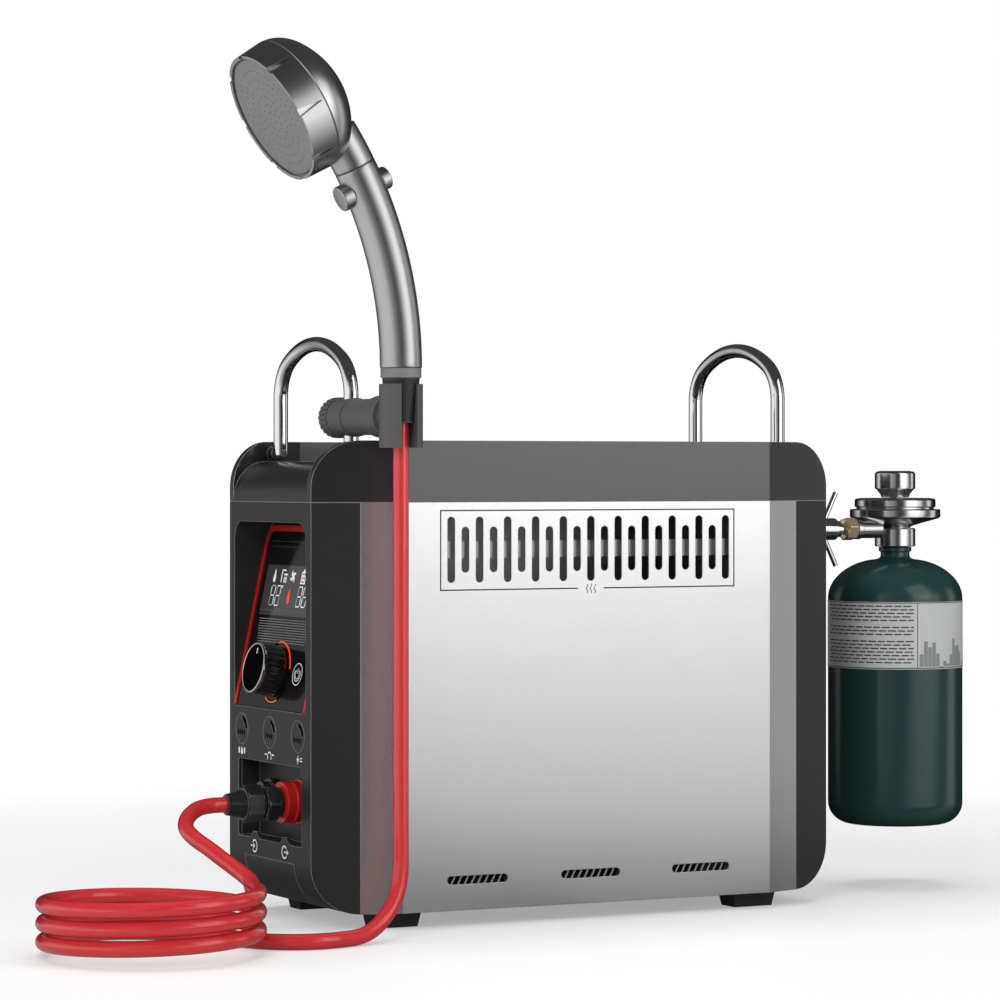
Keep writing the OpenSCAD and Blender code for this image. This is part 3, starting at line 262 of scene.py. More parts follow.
BY_SLOT = {
    "silver_panel": silver, "dark_plastic": dark, "grey_plastic": grey, "gloss_black": gloss,
    "display_glass": glass, "red_plastic": red, "hose_red": hose_red, "connector_black": black,
    "rubber_black": rubber, "chrome": chrome, "satin_chrome": satin, "spray_grey": plate,
    "sheet_steel": steel, "cast_zinc": zinc, "copper": copper, "brass": brass, "ceramic": ceramic,
    "circuit_green": board, "battery_blue": sleeve, "dark_screws": screw, "bottle_green": bottle}
for part in frame["record"]["subparts"]:
    ob = frame["nodes"][part["node"]]
    m = {"lid": lid_mat, "head_ring": shell}.get(part["node"], BY_SLOT[part["material_slot"]])
    ob.data.materials.clear()
    ob.data.materials.append(m)
    for poly in ob.data.polygons:
        poly.use_smooth = True
    split = ob.modifiers.new("split", "EDGE_SPLIT")
    split.split_angle = math.radians(15)
    ob.modifiers.new("normals", "WEIGHTED_NORMAL")

# ---------- mesh helpers ----------


def add_mesh(name, verts, faces, mat, body, sharp=32, weighted=True, matrix=None, bevel=0.0, slot=None):
    """A piece from points in millimetres, riding on a body."""
    me = bpy.data.meshes.new(name)
    if matrix is not None:
        verts = [matrix @ Vector(v) for v in verts]
    me.from_pydata([tuple((Vector(v) + HOME) / 1000) for v in verts], [], faces)
    bm = bmesh.new()
    bm.from_mesh(me)
    bmesh.ops.remove_doubles(bm, verts=bm.verts, dist=1e-7)
    bmesh.ops.recalc_face_normals(bm, faces=bm.faces)
    bm.to_mesh(me)
    bm.free()
    ob = bpy.data.objects.new(name, me)
    scene.collection.objects.link(ob)
    me.materials.append(mat)
    for poly in me.polygons:
        poly.use_smooth = True
    if bevel:
        bv = ob.modifiers.new("bevel", "BEVEL")
        bv.width = bevel / 1000
        bv.segments = 3
        bv.limit_method = "ANGLE"
        bv.angle_limit = math.radians(sharp)
    if sharp and not bevel:
        sp = ob.modifiers.new("split", "EDGE_SPLIT")
        sp.split_angle = math.radians(sharp)
    if weighted:
        ob.modifiers.new("normals", "WEIGHTED_NORMAL")
    if body:
        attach(ob, body)
    return ob


def lathe(name, profile, mat, body, matrix, seg=96, closed=False, radius=None, **kw):
    """Turns a profile of (radius, height) about the frame's third axis.

    radius(angle, r, h) gives the radius at each angle where the piece isn't round.
    """
    verts, faces = [], []
    n = len(profile)
    for r, h in profile:
        for k in range(seg):
            a = 2 * math.pi * k / seg
            rr = radius(a, r, h) if radius else r
            verts.append((rr * math.cos(a), rr * math.sin(a), h))
    for i in range(n if closed else n - 1):
        j = (i + 1) % n
        for k in range(seg):
            l = (k + 1) % seg
            faces.append((i * seg + k, i * seg + l, j * seg + l, j * seg + k))
    if not closed:
        if profile[0][0] > 0:
            faces.append(tuple(range(seg)))
        if profile[-1][0] > 0:
            faces.append(tuple((n - 1) * seg + k for k in range(seg)))
    return add_mesh(name, verts, faces, mat, body, matrix=matrix, **kw)


def arc(cx, cy, r, a0, a1, n):
    """Points of a round stretch between two angles in degrees."""
    return [(cx + r * math.cos(math.radians(a0 + (a1 - a0) * i / n)),
             cy + r * math.sin(math.radians(a0 + (a1 - a0) * i / n))) for i in range(n + 1)]


def rings_tube(points, headings, radii, sides, n0):
    """Points and faces of a round tube along a route, in millimetres."""
    verts, faces = [], []
    n = Vector(n0)
    for p, h, r in zip(points, headings, radii):
        n = (n - h * n.dot(h)).normalized()
        b = h.cross(n)
        for k in range(sides):
            a = 2 * math.pi * k / sides
            verts.append(Vector(p) + r * (math.cos(a) * n + math.sin(a) * b))
    for i in range(len(points) - 1):
        for k in range(sides):
            l = (k + 1) % sides
            faces.append((i * sides + k, i * sides + l, (i + 1) * sides + l, (i + 1) * sides + k))
    faces.append(tuple(range(sides - 1, -1, -1)))
    faces.append(tuple((len(points) - 1) * sides + k for k in range(sides)))
    return verts, faces


def flat_shapes(name, shapes, mat, body, matrix, depth=0.15, slot=None):
    """Thin raised marks: each shape is a list of (x, y) corners in the frame's plane."""
    verts, faces = [], []
    for s in shapes:
        o = len(verts)
        n = len(s)
        verts += [(x, y, -0.05) for x, y in s] + [(x, y, depth) for x, y in s]
        faces.append(tuple(o + n + i for i in range(n)))
        faces.append(tuple(o + i for i in range(n - 1, -1, -1)))
        faces += [(o + i, o + (i + 1) % n, o + n + (i + 1) % n, o + n + i) for i in range(n)]
    return add_mesh(name, verts, faces, mat, body, matrix=matrix, weighted=False, slot=slot)


def bar(x0, y0, x1, y1):
    return [(x0, y0), (x1, y0), (x1, y1), (x0, y1)]


def ring_sector(cx, cy, r0, r1, a0, a1, n=24):
    """A flat ring between two radii and two angles in degrees, in n pieces."""
    turns = [math.radians(a0 + (a1 - a0) * i / n) for i in range(n + 1)]
    return [[(cx + r * math.cos(t), cy + r * math.sin(t))
             for r, t in ((r0, t0), (r1, t0), (r1, t1), (r0, t1))]
            for t0, t1 in zip(turns, turns[1:])]


# ---------- hose ----------

HOSE = 10.4
COIL_C = Vector((-340, -135, 0))
COIL_R, COIL_PITCH, COIL_A0, COIL_A1, HOSE_Z = 67.5, 11.7, 18, 1070, 5.25
DROP = [
    (-166, -135, 336), (-166, -135, 320), (-166, -135, 295), (-166, -135, 270), (-166, -135, 245),
    (-166, -135, 220), (-166, -135, 195), (-166, -135, 170), (-166, -135, 145), (-166, -135, 120),
    (-166, -135, 95), (-166, -135, 70), (-166, -135, 48), (-167.5, -135.5, 37), (-171.5, -137, 27),
    (-178, -139, 18), (-186.5, -142, 11), (-196, -145.5, 6.8), (-206.5, -149, 5.25),
    (-214, -151.5, 5.25), (-222, -154, 5.25), (-233.5, -155, 5.25), (-245, -152.5, 5.25),
    (-255.5, -147, 5.25), (-264.5, -139, 5.25), (-270.5, -129, 5.25)]
LEAD = [
    (-268, -126, 42), (-268.5, -115, 45.5), (-271.5, -104, 50), (-275.5, -94, 55),
    (-280, -84, 60.5), (-283.5, -75, 64.5), (-285, -66, 68), (-284, -56, 71.5),
    (-279.5, -46, 75.5), (-272.5, -37.5, 79), (-264, -30.5, 81.5), (-254, -26.5, 82.5)]


def coil_point(a):
    t = math.radians(a)
    rise = COIL_PITCH * (a - COIL_A0) / 360
    return COIL_C + Vector((COIL_R * math.cos(t), COIL_R * math.sin(t), HOSE_Z + rise))


def coil_heading(a):
    t = math.radians(a)
    return Vector((-math.sin(t), math.cos(t), COIL_PITCH / (2 * math.pi * COIL_R))).normalized()


coil_in = Vector((-math.sin(math.radians(COIL_A0)), math.cos(math.radians(COIL_A0)), 0))
start = coil_point(COIL_A0) - HOSE * coil_in
steps = 120
coil = [coil_point(COIL_A0 + (COIL_A1 - COIL_A0) * i / steps) for i in range(steps + 1)]
finish = coil[-1] + HOSE * coil_heading(COIL_A1)
route = [Vector(p) for p in DROP] + [start] + coil + [finish] + [Vector(p) for p in LEAD]
route += [Vector((HOSE_END_X, CONN_Y, CONN_Z))]


def smooth_route(pts, step=3.5):
    """A Catmull-Rom curve through the points, cut into even steps."""
    out = []
    ext = [2 * pts[0] - pts[1]] + pts + [2 * pts[-1] - pts[-2]]
    for i in range(1, len(ext) - 2):
        p0, p1, p2, p3 = ext[i - 1:i + 3]
        d = [max(1e-6, (b - a).length) ** 0.5 for a, b in ((p0, p1), (p1, p2), (p2, p3))]
        m1 = ((p1 - p0) / d[0] - (p2 - p0) / (d[0] + d[1]) + (p2 - p1) / d[1]) * d[1]
        m2 = ((p2 - p1) / d[1] - (p3 - p1) / (d[1] + d[2]) + (p3 - p2) / d[2]) * d[1]
        n = max(1, round((p2 - p1).length / step))
        for k in range(n):
            t = k / n
            out.append((2 * t**3 - 3 * t**2 + 1) * p1 + (t**3 - 2 * t**2 + t) * m1
                       + (3 * t**2 - 2 * t**3) * p2 + (t**3 - t**2) * m2)
    return out + [pts[-1]]


path = smooth_route(route)
for p in path:
    p.z = max(p.z, HOSE / 2 + 0.02)
heads = [Vector((0, 0, -1))]
heads += [(path[i + 1] - path[i - 1]).normalized() for i in range(1, len(path) - 1)]
heads += [Vector((1, 0, 0))]
verts, faces = rings_tube(path, heads, [HOSE / 2] * len(path), 20, (1, 1, 0))
hose = add_mesh("hose", verts, faces, hose_red, None, weighted=False, sharp=50, slot="hose_red")
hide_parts("hose_drop", "hose_coil", "hose_lead")
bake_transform(hose)

# ---------- quick connector on the hose ----------

CONN = place((0, CONN_Y, CONN_Z), (0, 0, 1), (-1, 0, 0))


def hex_nut(name, x0, x1, apothem, turn, mat, body, matrix, slot, chamfer=1.3):
    def radius(a, r, h):
        d = (math.degrees(a) + turn + 30) % 60 - 30
        return min(r, apothem / math.cos(math.radians(d)))
    full = apothem * 1.13
    prof = [(0, x0), (apothem - 1.2, x0), (apothem - 0.2, x0 + 0.3), (full, x0 + chamfer + 0.3),
            (full, x1 - chamfer - 0.3), (apothem - 0.2, x1 - 0.3), (apothem - 1.2, x1), (0, x1)]
    return lathe(name, prof, mat, body, matrix, seg=144, radius=radius, sharp=24, slot=slot)


hose_nut_a = hex_nut("hose_nut_front", 206, 216.6, 11.3, 0, black, "frame", CONN, "connector_black")
hose_nut_b = hex_nut("hose_nut_back", 217.6, 231.4, 11.3, 30, black, "frame", CONN, "connector_black")
hose_body = lathe("hose_plug_body", [
    (0, 188), (7.9, 188), (7.9, 203.2), (9.6, 203.4), (10, 204.2), (10, 206), (9.2, 206.4), (9.2, 231),
    (9.4, 231.6), (9.0, 233), (8.4, 235), (7.4, 241), (7.1, 242.4), (6.6, 243), (0, 243)],
    black, "frame", CONN, seg=72, sharp=40, slot="connector_black")
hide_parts("hose_connector")

# ---------- red outlet coupling ----------

outlet = lathe("outlet_collar", [
    (8.2, 203.6), (12.6, 203.6), (13.9, 203.2), (14.1, 202.2), (13.6, 201.4), (13.6, 196.4), (14.2, 195.9),
    (14.4, 194.9), (14.2, 193.9), (13.7, 193.4), (13.7, 190.5), (15.2, 190.1), (15.5, 189.4), (15.5, 184.7),
    (15.1, 184.2), (8.2, 184.2)], red, "frame", CONN, closed=True, sharp=40, slot="red_plastic")
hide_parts("water_outlet_fitting")

# ---------- temperature knob, its light ring and the display ----------

lean = math.radians(12)
UP = Vector((math.sin(lean), 0, math.cos(lean)))
OUT = Vector((-math.cos(lean), 0, math.sin(lean)))
# Panel frame: first axis to the right as seen from the front of the panel, third axis outwards
SIDE = UP.cross(OUT)


def on_panel(side, up, out=0.0):
    o = Vector((CONTROL_X, 0, 143.6)) + UP * up + OUT * out
    m = Matrix((SIDE, UP, OUT)).transposed().to_4x4()
    m.translation = o + SIDE * side
    return m


KNOB = on_panel(0, KNOB_UP)


def knob_facets(a, r, h):
    if 1.5 < h < 15.3 and r > 16:
        return r - 0.55 * (0.5 + 0.5 * math.cos(20 * a)) ** 3
    return r


knob = lathe("knob_body", [
    (0, 0.35), (16.6, 0.35), (17.2, 0.8), (17.4, 2), (17.4, 15), (17.1, 15.4), (17.0, 15.6), (0, 15.6)],
    knob_black, "temperature_knob_body", KNOB, seg=240, radius=knob_facets, sharp=35, slot="gloss_black")
lathe("knob_rim", [
    (16.9, 15.5), (17.45, 15.7), (17.5, 17.2), (17.2, 17.8), (16.5, 18.0), (15.9, 17.8), (15.7, 16.8),
    (15.7, 15.5)],
    chrome, "temperature_knob_body", KNOB, seg=120, closed=True, sharp=45, slot="chrome")
lathe("knob_face", [(0, 15.5), (15.8, 15.5), (15.8, 16.6), (14.6, 16.9), (0, 16.9)],
      deep, "temperature_knob_body", KNOB, seg=96, sharp=35, slot="gloss_black")
flat_shapes("knob_mark", [bar(-0.5, 9.6, 0.5, 13.4)], print_white, "temperature_knob_body",
            on_panel(0, KNOB_UP, 16.9))
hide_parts("temperature_knob")

flat_shapes("ring_warm", ring_sector(0, 0, 19.9, 21.3, 8, 104, 40), glow_red, "frame", KNOB)
flat_shapes("ring_orange", ring_sector(0, 0, 20.3, 21.1, 238, 294, 24), glow_orange, "frame", KNOB)
flat_shapes("ring_well", ring_sector(0, 0, 19.4, 21.8, 0, 360, 72), deep, "frame",
            on_panel(0, KNOB_UP, -0.12))

PANEL = on_panel(0, 0)
LENS = on_panel(0, 0, 0.02)
grille = [bar(-45 + max(0, 6 - i) * 0.5, 45.4 + 1.75 * i, 37, 46.0 + 1.75 * i) for i in range(10)]
flat_shapes("panel_grille", grille, line_grey, "frame", PANEL, depth=0.2)
flat_shapes("panel_lines", [bar(-50, 115.2, 50, 115.6), bar(-49, 111.6, 49, 112.0)], line_dim,
            "frame", PANEL, depth=0.15)
flat_shapes("lens_line", [bar(-48, 67.4, 38, 67.7)], line_grey, "frame", LENS, depth=0.1)


def segments(x, y, w, h, t, on):
    """Bars of a seven-part digit whose lower left corner is at x, y."""
    g = t * 1.15
    m = y + h / 2
    names = {
        "a": bar(x + g, y + h - t, x + w - g, y + h), "g": bar(x + g, m - t / 2, x + w - g, m + t / 2),
        "d": bar(x + g, y, x + w - g, y + t), "f": bar(x, m + g, x + t, y + h - g),
        "b": bar(x + w - t, m + g, x + w, y + h - g),
        "e": bar(x, y + g, x + t, m - g), "c": bar(x + w - t, y + g, x + w, m - g)}
    return [[(px + (py - y) * 0.06, py) for px, py in names[k]] for k in on]


DIGITS = {"3": "abgcd", "8": "abcdefg", "4": "fgbc", "2": "abged"}
PAIRS = ((-36, "4"), (-27, "2"), (9, "3"), (18, "8"))
DIGIT_AT, DIGIT_W, DIGIT_H, DIGIT_T = 70.6, 7.2, 14.4, 0.8
lit, ghost = [], []
for x, d in PAIRS:
    lit += segments(x, DIGIT_AT, DIGIT_W, DIGIT_H, DIGIT_T, DIGITS[d])
    unlit = [k for k in "abcdefg" if k not in DIGITS[d]]
    ghost += segments(x, DIGIT_AT, DIGIT_W, DIGIT_H, DIGIT_T, unlit)
# the small rings of the degree signs
for x in (-17.6, 27.6):
    lit += ring_sector(x, 84.2, 0.5, 1.0, 0, 360, 12)
flat_shapes("display_digits", lit, glow_white, "frame", LENS, depth=0.08)
flat_shapes("display_ghosts", ghost, glow_dim, "frame", LENS, depth=0.06)


def blob(cx, cy, w, h, lean_x=0.0):
    """A drop or flame outline."""
    pts = []
    for i in range(28):
        t = 2 * math.pi * i / 28
        y = -math.cos(t)
        x = math.sin(t) * (1 - 0.5 * (y + 1) * 0.85)
        pts.append((cx + w * x + lean_x * (y + 1), cy + h * y))
    return pts


icons = [blob(-33.5, 91.5, 2.7, 4.6)]
# shower head with three jets
icons += [bar(-22.5, 87.0, -21.3, 96.0), bar(-22.5, 95.0, -16.2, 96.0), bar(-18.4, 92.0, -12.6, 93.2)]
icons += [bar(x, 87.0, x + 0.9, 91.0) for x in (-17.8, -16.0, -14.2)]
# fan
for a in (20, 110, 200, 290):
    t = math.radians(a)
    icons += ring_sector(-3 + 2.0 * math.cos(t), 91.5 + 2.0 * math.sin(t), 0.4, 2.3, a, a + 200, 8)
# battery
icons += [bar(10.6, 86.6, 11.6, 95), bar(16.8, 86.6, 17.8, 95), bar(11.6, 86.6, 16.8, 87.6),
          bar(11.6, 94, 16.8, 95), bar(12.8, 95, 15.6, 96.6), bar(12.4, 88.4, 16.0, 90.4),
          bar(12.4, 91.2, 16.0, 93.2)]
# gas bottle
icons += [bar(27, 86.8, 32, 92.6), bar(28.3, 93.2, 30.7, 94.2), bar(28.9, 94.2, 30.1, 95.4)]
flat_shapes("display_icons", icons, glow_white, "frame", LENS, depth=0.08)
flat_shapes("display_flame", [blob(-4.5, 77.6, 2.8, 5.2)], glow_red, "frame", LENS, depth=0.08)

BTN = on_panel(37, KNOB_UP, 1.2)
ring = ring_sector(0, 0, 7.1, 7.6, 0, 360, 48)
ring += ring_sector(0, 0, 2.9, 3.4, 120, 420, 30) + ring_sector(0, 0, 4.5, 5.0, 150, 390, 30)
ring += [bar(-0.3, 0.4, 0.3, 4.0)]
flat_shapes("button_symbol", ring, print_white, "mode_button_body", BTN, depth=0.08)

# ---------- marks on the end cover ----------

END = place((CONTROL_X, 0, 0), (0, -1, 0), (-1, 0, 0))
marks = []
# under the ports: a drop between bars, an arch between bars, a bolt beside two lines
marks += [blob(-47, 113, 2.2, 2.9), bar(-52.5, 111, -50.5, 115), bar(-43.5, 111, -41.5, 115)]
marks += ring_sector(0, 111.6, 2.4, 3.3, 0, 180, 16)
marks += [bar(-3.3, 109.6, -2.4, 111.6), bar(2.4, 109.6, 3.3, 111.6)]
marks += [bar(-7.5, 112.4, -4.8, 113.4), bar(4.8, 112.4, 7.5, 113.4)]
marks += [[(48, 115.8), (44.8, 112.0), (46.8, 112.0), (45.6, 108.8), (49.4, 113.2), (47.3, 113.2)]]
marks += [bar(50.6, 111.4, 54, 112.2), bar(50.6, 113.2, 54, 114)]
# flow arrows in and out
for y, s in ((-25, 1), (25, -1)):
    gap_at = 180 if s > 0 else 0
    marks += ring_sector(y, 49, 3.5, 4.5, gap_at + 38, gap_at + 322, 34)
    x0 = y - 6.5 if s > 0 else y - 0.5
    marks += [bar(x0, 48.5, x0 + 5, 49.5), [(x0 + 4.4, 47), (x0 + 7.2, 49), (x0 + 4.4, 51)]]
flat_shapes("port_marks", marks, print_white, "frame", END, depth=0.08)
NOTCH = place((CAP_NOTCH_X, 0, 0), (0, -1, 0), (-1, 0, 0))
for nm, body, y in (("pump", "pump_cap", CAP_PITCH), ("aux", "aux_cap", 0),
                    ("power", "power_cap", -CAP_PITCH)):
    # the finger notch stays a recess; black sheets on its floor and its walls are painted shade
    outer = arc(-y, CAP_Z, 8.95, 0.5, 96, 16)
    inner = arc(-y - 2.2, CAP_Z - 1.4, 8.35, 10, 81.5, 16)
    notch_shade = [[outer[i], outer[i + 1], inner[i + 1], inner[i]] for i in range(16)]
    flat_shapes(nm + "_cap_painted_shade_floor", notch_shade, deep, body, NOTCH, depth=0.04)
    # painted shade on the notch's two curved walls
    walls = ring_sector(-y, CAP_Z, 8.90, 8.98, 0.5, 96, 16)
    walls += ring_sector(-y - 2.2, CAP_Z - 1.4, 8.32, 8.40, 10, 81.5, 16)
    flat_shapes(nm + "_cap_painted_shade_walls", walls, deep, body, NOTCH, depth=1.15)
    tabs = [bar(-y + x, 123.6, -y + x + 1.5, 127.2) for x in (-7.0, -3.6, -0.2, 3.2)]
    tabs += [bar(-y + x, 125.0, -y + x + 1.4, 125.9) for x in (-5.5, -2.1, 1.3)]
    flat_shapes(nm + "_cap_mark", tabs, deep, body, END, depth=0.06)

# ---------- front panel print and vent bars ----------

FRONT = place((0, FRONT_Y, 0), (1, 0, 0), (0, -1, 0))
FRAME_W = 0.9
box = [bar(-114.3, 224.8, -10, 224.8 + FRAME_W), bar(10, 224.8, 113.2, 224.8 + FRAME_W),
       bar(-114.3, 278.9 - FRAME_W, 113.2, 278.9), bar(-114.3, 224.8, -114.3 + FRAME_W, 278.9),
       bar(113.2 - FRAME_W, 224.8, 113.2, 278.9)]
flat_shapes("vent_frame", box, print_black, "frame", FRONT, depth=0.1)
# three rising heat waves in the frame's gap
waves = []
for k in (-3, 0, 3):
    for i in range(10):
        z0, z1 = 221.9 + 0.62 * i, 221.9 + 0.62 * (i + 1)
        x0, x1 = k + 0.7 * math.sin(i * 0.9), k + 0.7 * math.sin((i + 1) * 0.9)
        waves.append([(x0 - 0.3, z0), (x0 + 0.3, z0), (x1 + 0.3, z1), (x1 - 0.3, z1)])
flat_shapes("heat_mark", waves, print_black, "frame", FRONT, depth=0.1)

# slanted blades behind the intake slots
for i in (-1, 0, 1):
    fins = []
    for k in range(9):
        x = i * 86.2 - 20 + 5 * k
        fins.append([(x, 26.5), (x + 1.4, 26.5), (x + 6.4, 36), (x + 5.0, 36)])
    behind = place((0, FRONT_Y + 3.9, 0), (1, 0, 0), (0, -1, 0))
    flat_shapes("intake_blades_%d" % (i + 2), fins, steel, "frame", behind, depth=1.0,
                slot="sheet_steel")

# ---------- gas bottle ----------

BOTTLE = place((GAS_X, 0, 0), (1, 0, 0), (0, 0, 1))
R = 49.3
prof = [(0, 51), (28, 50.4), (34, 46.6)] + arc(33.3, 62, 16, -84, 0, 12)
prof += [(R, 130), (R, 150.0), (R + 0.05, 200), (R, 211.3)]
shoulder = [math.radians(a) for a in range(3, 85, 3)]
prof += [(13 + (R - 13) * math.cos(a) ** 1.12, 211.3 + 28.6 * math.sin(a)) for a in shoulder]
prof += [(14, 240.0), (12.2, 240.5), (11.0, 241.4), (10.6, 242.6), (10.6, 245.2), (11.2, 245.6), (12, 245.9),
         (12, 248.6), (11.6, 248.9), (8, 248.9), (8, 257), (2, 257), (2, 250), (0, 250)]
cyl = lathe("gas_cylinder", prof, bottle, "bottle", BOTTLE, seg=128, sharp=38, slot="bottle_green")
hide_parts("gas_bottle")
lathe("bottle_label", [(R + 0.02, 161), (R + 0.16, 161.1), (R + 0.16, 209.8), (R + 0.02, 209.9)],
      label, "bottle", BOTTLE, seg=128, closed=True, sharp=40)


def wrap(name, shapes, mat, r):
    """Printed marks bent round the bottle: x is the angle in degrees, y the height."""
    verts, faces = [], []
    for x0, z0, x1, z1 in shapes:
        n = max(1, int(abs(x1 - x0) / 3))
        o = len(verts)
        for i in range(n + 1):
            a = math.radians(x0 + (x1 - x0) * i / n)
            for z in (z0, z1):
                for q in (r, r + 0.08):
                    verts.append((q * math.cos(a), q * math.sin(a), z))
        for i in range(n):
            p, s = o + 4 * i, o + 4 * (i + 1)
            faces += [(p + 1, s + 1, s + 3, p + 3), (p, p + 2, s + 2, s), (p, s, s + 1, p + 1),
                      (p + 2, p + 3, s + 3, s + 2)]
        e = o + 4 * n
        faces += [(o, o + 1, o + 3, o + 2), (e, e + 2, e + 3, e + 1)]
    return add_mesh(name, verts, faces, mat, "bottle", matrix=BOTTLE, weighted=False)


rows = []
for k in range(17):
    z = 206.4 - 2.55 * k
    a = -196 + (k * 7) % 5
    while a < -109:
        step_a = 3 + (k * 13 + int(-a)) % 8
        if k not in (5, 9):
            rows.append((a, z, min(a + step_a, -107), z + 0.95))
        a += step_a + 1.5
wrap("label_rows", rows, label_dark, R + 0.14)
edges = [(-198, 161.6, 160, 162.3), (-198, 208.9, 160, 209.5), (-104, 161.6, -103.4, 209.5)]
wrap("label_edges", edges, label_dark, R + 0.14)
hills = [(-102 + 4 * k, 163, -98.4 + 4 * k, 172 + 9 * math.sin(k * 0.8) + 4 * math.sin(k * 2.3))
         for k in range(24)]
wrap("label_tint", hills, label_tint, R + 0.13)

# ---------- regulator ----------

GASX = place((0, 0, GAS_Z), (0, 0, 1), (1, 0, 0))
reg = lathe("regulator_housing", [
    (8.06, 249.3), (14.3, 249.3), (14.9, 249.9), (14.9, 262.0), (14.2, 262.8), (10.8, 262.9),
    (11.2, 263.4), (13.0, 264.6), (19.5, 266.6), (27, 268.6), (31.6, 270.0), (33.0, 270.9),
    (33.2, 271.6), (33.2, 276.0), (32.6, 276.7), (28.6, 276.9), (28.4, 277.2), (28.4, 278.0),
    (29.2, 278.3), (29.7, 278.9), (29.7, 283.2), (28.9, 284.4), (26, 284.9), (11, 284.9),
    (4.0, 284.9), (4.0, 298), (0, 298.4), (0, 262), (8.06, 262)],
    zinc, "frame", BOTTLE, seg=144, closed=True, sharp=30, slot="cast_zinc")
lathe("regulator_arm", [
    (0, 266.6), (7.3, 266.6), (7.6, 267), (7.6, 270.4), (6.9, 271), (6.9, 287.6), (0, 287.6)],
    zinc, "frame", GASX, seg=64, sharp=35, slot="cast_zinc")
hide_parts("regulator_body")
rk = lathe("regulator_cap", [
    (4.06, 285.3), (9.6, 285.3), (10.3, 285.8), (10.6, 287.4), (13.6, 291.2), (14.6, 291.7),
    (14.9, 292.4), (14.9, 302.6), (14.4, 303.6), (13.4, 304.4), (10.6, 304.9), (10.2, 304.4),
    (0, 304.4), (0, 298.8), (4.06, 298.8)],
    zinc, "regulator_knob_body", BOTTLE, seg=128, closed=True, sharp=32, slot="satin_chrome")
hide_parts("regulator_knob")

nut = hex_nut("gas_hex_nut", 256.9, 266.5, 7.6, 12, brass, "frame", GASX, "brass", chamfer=1.0)
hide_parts("brass_nut")

# ---------- shower ----------

CONE = place((WAND_X, WAND_Y, 0), (1, 0, 0), (0, 0, 1))
WAND_C = Vector((-436, WAND_Y, 371.8))
WR, WD = 270.0, 13.75


def wand_point(t):
    a = math.radians(t)
    return WAND_C + WR * Vector((math.cos(a), 0, math.sin(a)))


def wand_heading(t):
    a = math.radians(t)
    return Vector((-math.sin(a), 0, math.cos(a)))


def wand_tube(name, t0, t1, r, mat, n=60, ends=0.5, slot="satin_chrome"):
    pts, hs, rs = [], [], []
    e = ends / WR * 57.3
    stops = [(t0, r - ends), (t0 + e * 0.3, r - ends * 0.3), (t0 + e, r)]
    stops += [(t0 + e + (t1 - t0 - 2 * e) * i / n, r) for i in range(1, n)]
    stops += [(t1 - e, r), (t1 - e * 0.3, r - ends * 0.3), (t1, r - ends)]
    for t, rr in stops:
        pts.append(wand_point(t))
        hs.append(wand_heading(t))
        rs.append(rr)
    v, f = rings_tube(pts, hs, rs, 72, (0, 1, 0))
    return add_mesh(name, v, f, mat, "shower", sharp=50, weighted=False, slot=slot)


grip = wand_tube("shower_grip", 0, 28.7, WD, satin)
wand_tube("shower_neck", 28.75, 34.2, WD, satin, n=16)
wand_tube("shower_seam", 28.5, 28.95, WD - 0.45, gloss, n=4, slot="gloss_black")
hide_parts("wand_handle")
cone = lathe("hose_cone_shape", [(0, 336), (8.6, 336), (9.2, 336.6), (12.3, 365.2), (0, 365.2)],
             dark, "shower", CONE, seg=96, sharp=35, slot="dark_plastic")
lathe("hose_cone_collar", [
    (0, 365.3), (12.6, 365.3), (13.2, 365.5), (13.35, 366), (13.35, 371.2), (13.0, 371.7), (0, 371.7)],
    collar_grey, "shower", CONE, seg=96, sharp=35, slot="dark_plastic")
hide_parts("hose_cone")

tilt = math.radians(HEAD_TILT)
HEAD = place((-257.7, WAND_Y, 530.2), (0, 1, 0), (math.sin(tilt), 0, math.cos(tilt)))
cr = 57.18
cz = 18.5 + 31 - cr
a0 = math.degrees(math.atan2(cr - 31, 23.5))
dome_prof = [(0, 18.6), (44.4, 18.6), (44.9, 18.8), (45.2, 19.4)]
dome_prof += arc(23.5, 18.5, 22, 3, a0, 16) + arc(0, cz, cr, a0 + 2, 90, 22)
dome_prof[-1] = (0, dome_prof[-1][1])
dome = lathe("head_dome", dome_prof, shell, "shower", HEAD, seg=160, sharp=40, slot="satin_chrome")
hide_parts("head_shell")

disc = lathe("spray_disc", [
    (0, 1.2), (39.9, 1.2), (40.8, 1.4), (41.2, 2.0), (41.2, 4.4), (0, 4.4)],
    plate, "shower", HEAD, seg=128, sharp=35, slot="spray_grey")
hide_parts("spray_plate")
nozzles_v, nozzles_f = [], []
for r, n in ((4, 6), (9, 12), (15, 20), (21, 28), (27, 36), (33, 44)):
    for k in range(n):
        a = 2 * math.pi * k / n + r
        o = len(nozzles_v)
        for rr, h in ((0.62, 1.3), (0.55, 0.95), (0.25, 0.95), (0.2, 1.1)):
            for i in range(8):
                t = math.pi * i / 4
                nozzles_v.append((r * math.cos(a) + rr * math.cos(t), r * math.sin(a) + rr * math.sin(t), h))
        for j in range(3):
            for i in range(8):
                l = (i + 1) % 8
                nozzles_f.append((o + 8 * j + i, o + 8 * j + l, o + 8 * (j + 1) + l, o + 8 * (j + 1) + i))
        nozzles_f.append(tuple(o + 24 + i for i in range(8)))
        nozzles_f.append(tuple(o + i for i in range(7, -1, -1)))
add_mesh("spray_nozzles", nozzles_v, nozzles_f, plate, "shower", matrix=HEAD, weighted=False,
         slot="spray_grey")

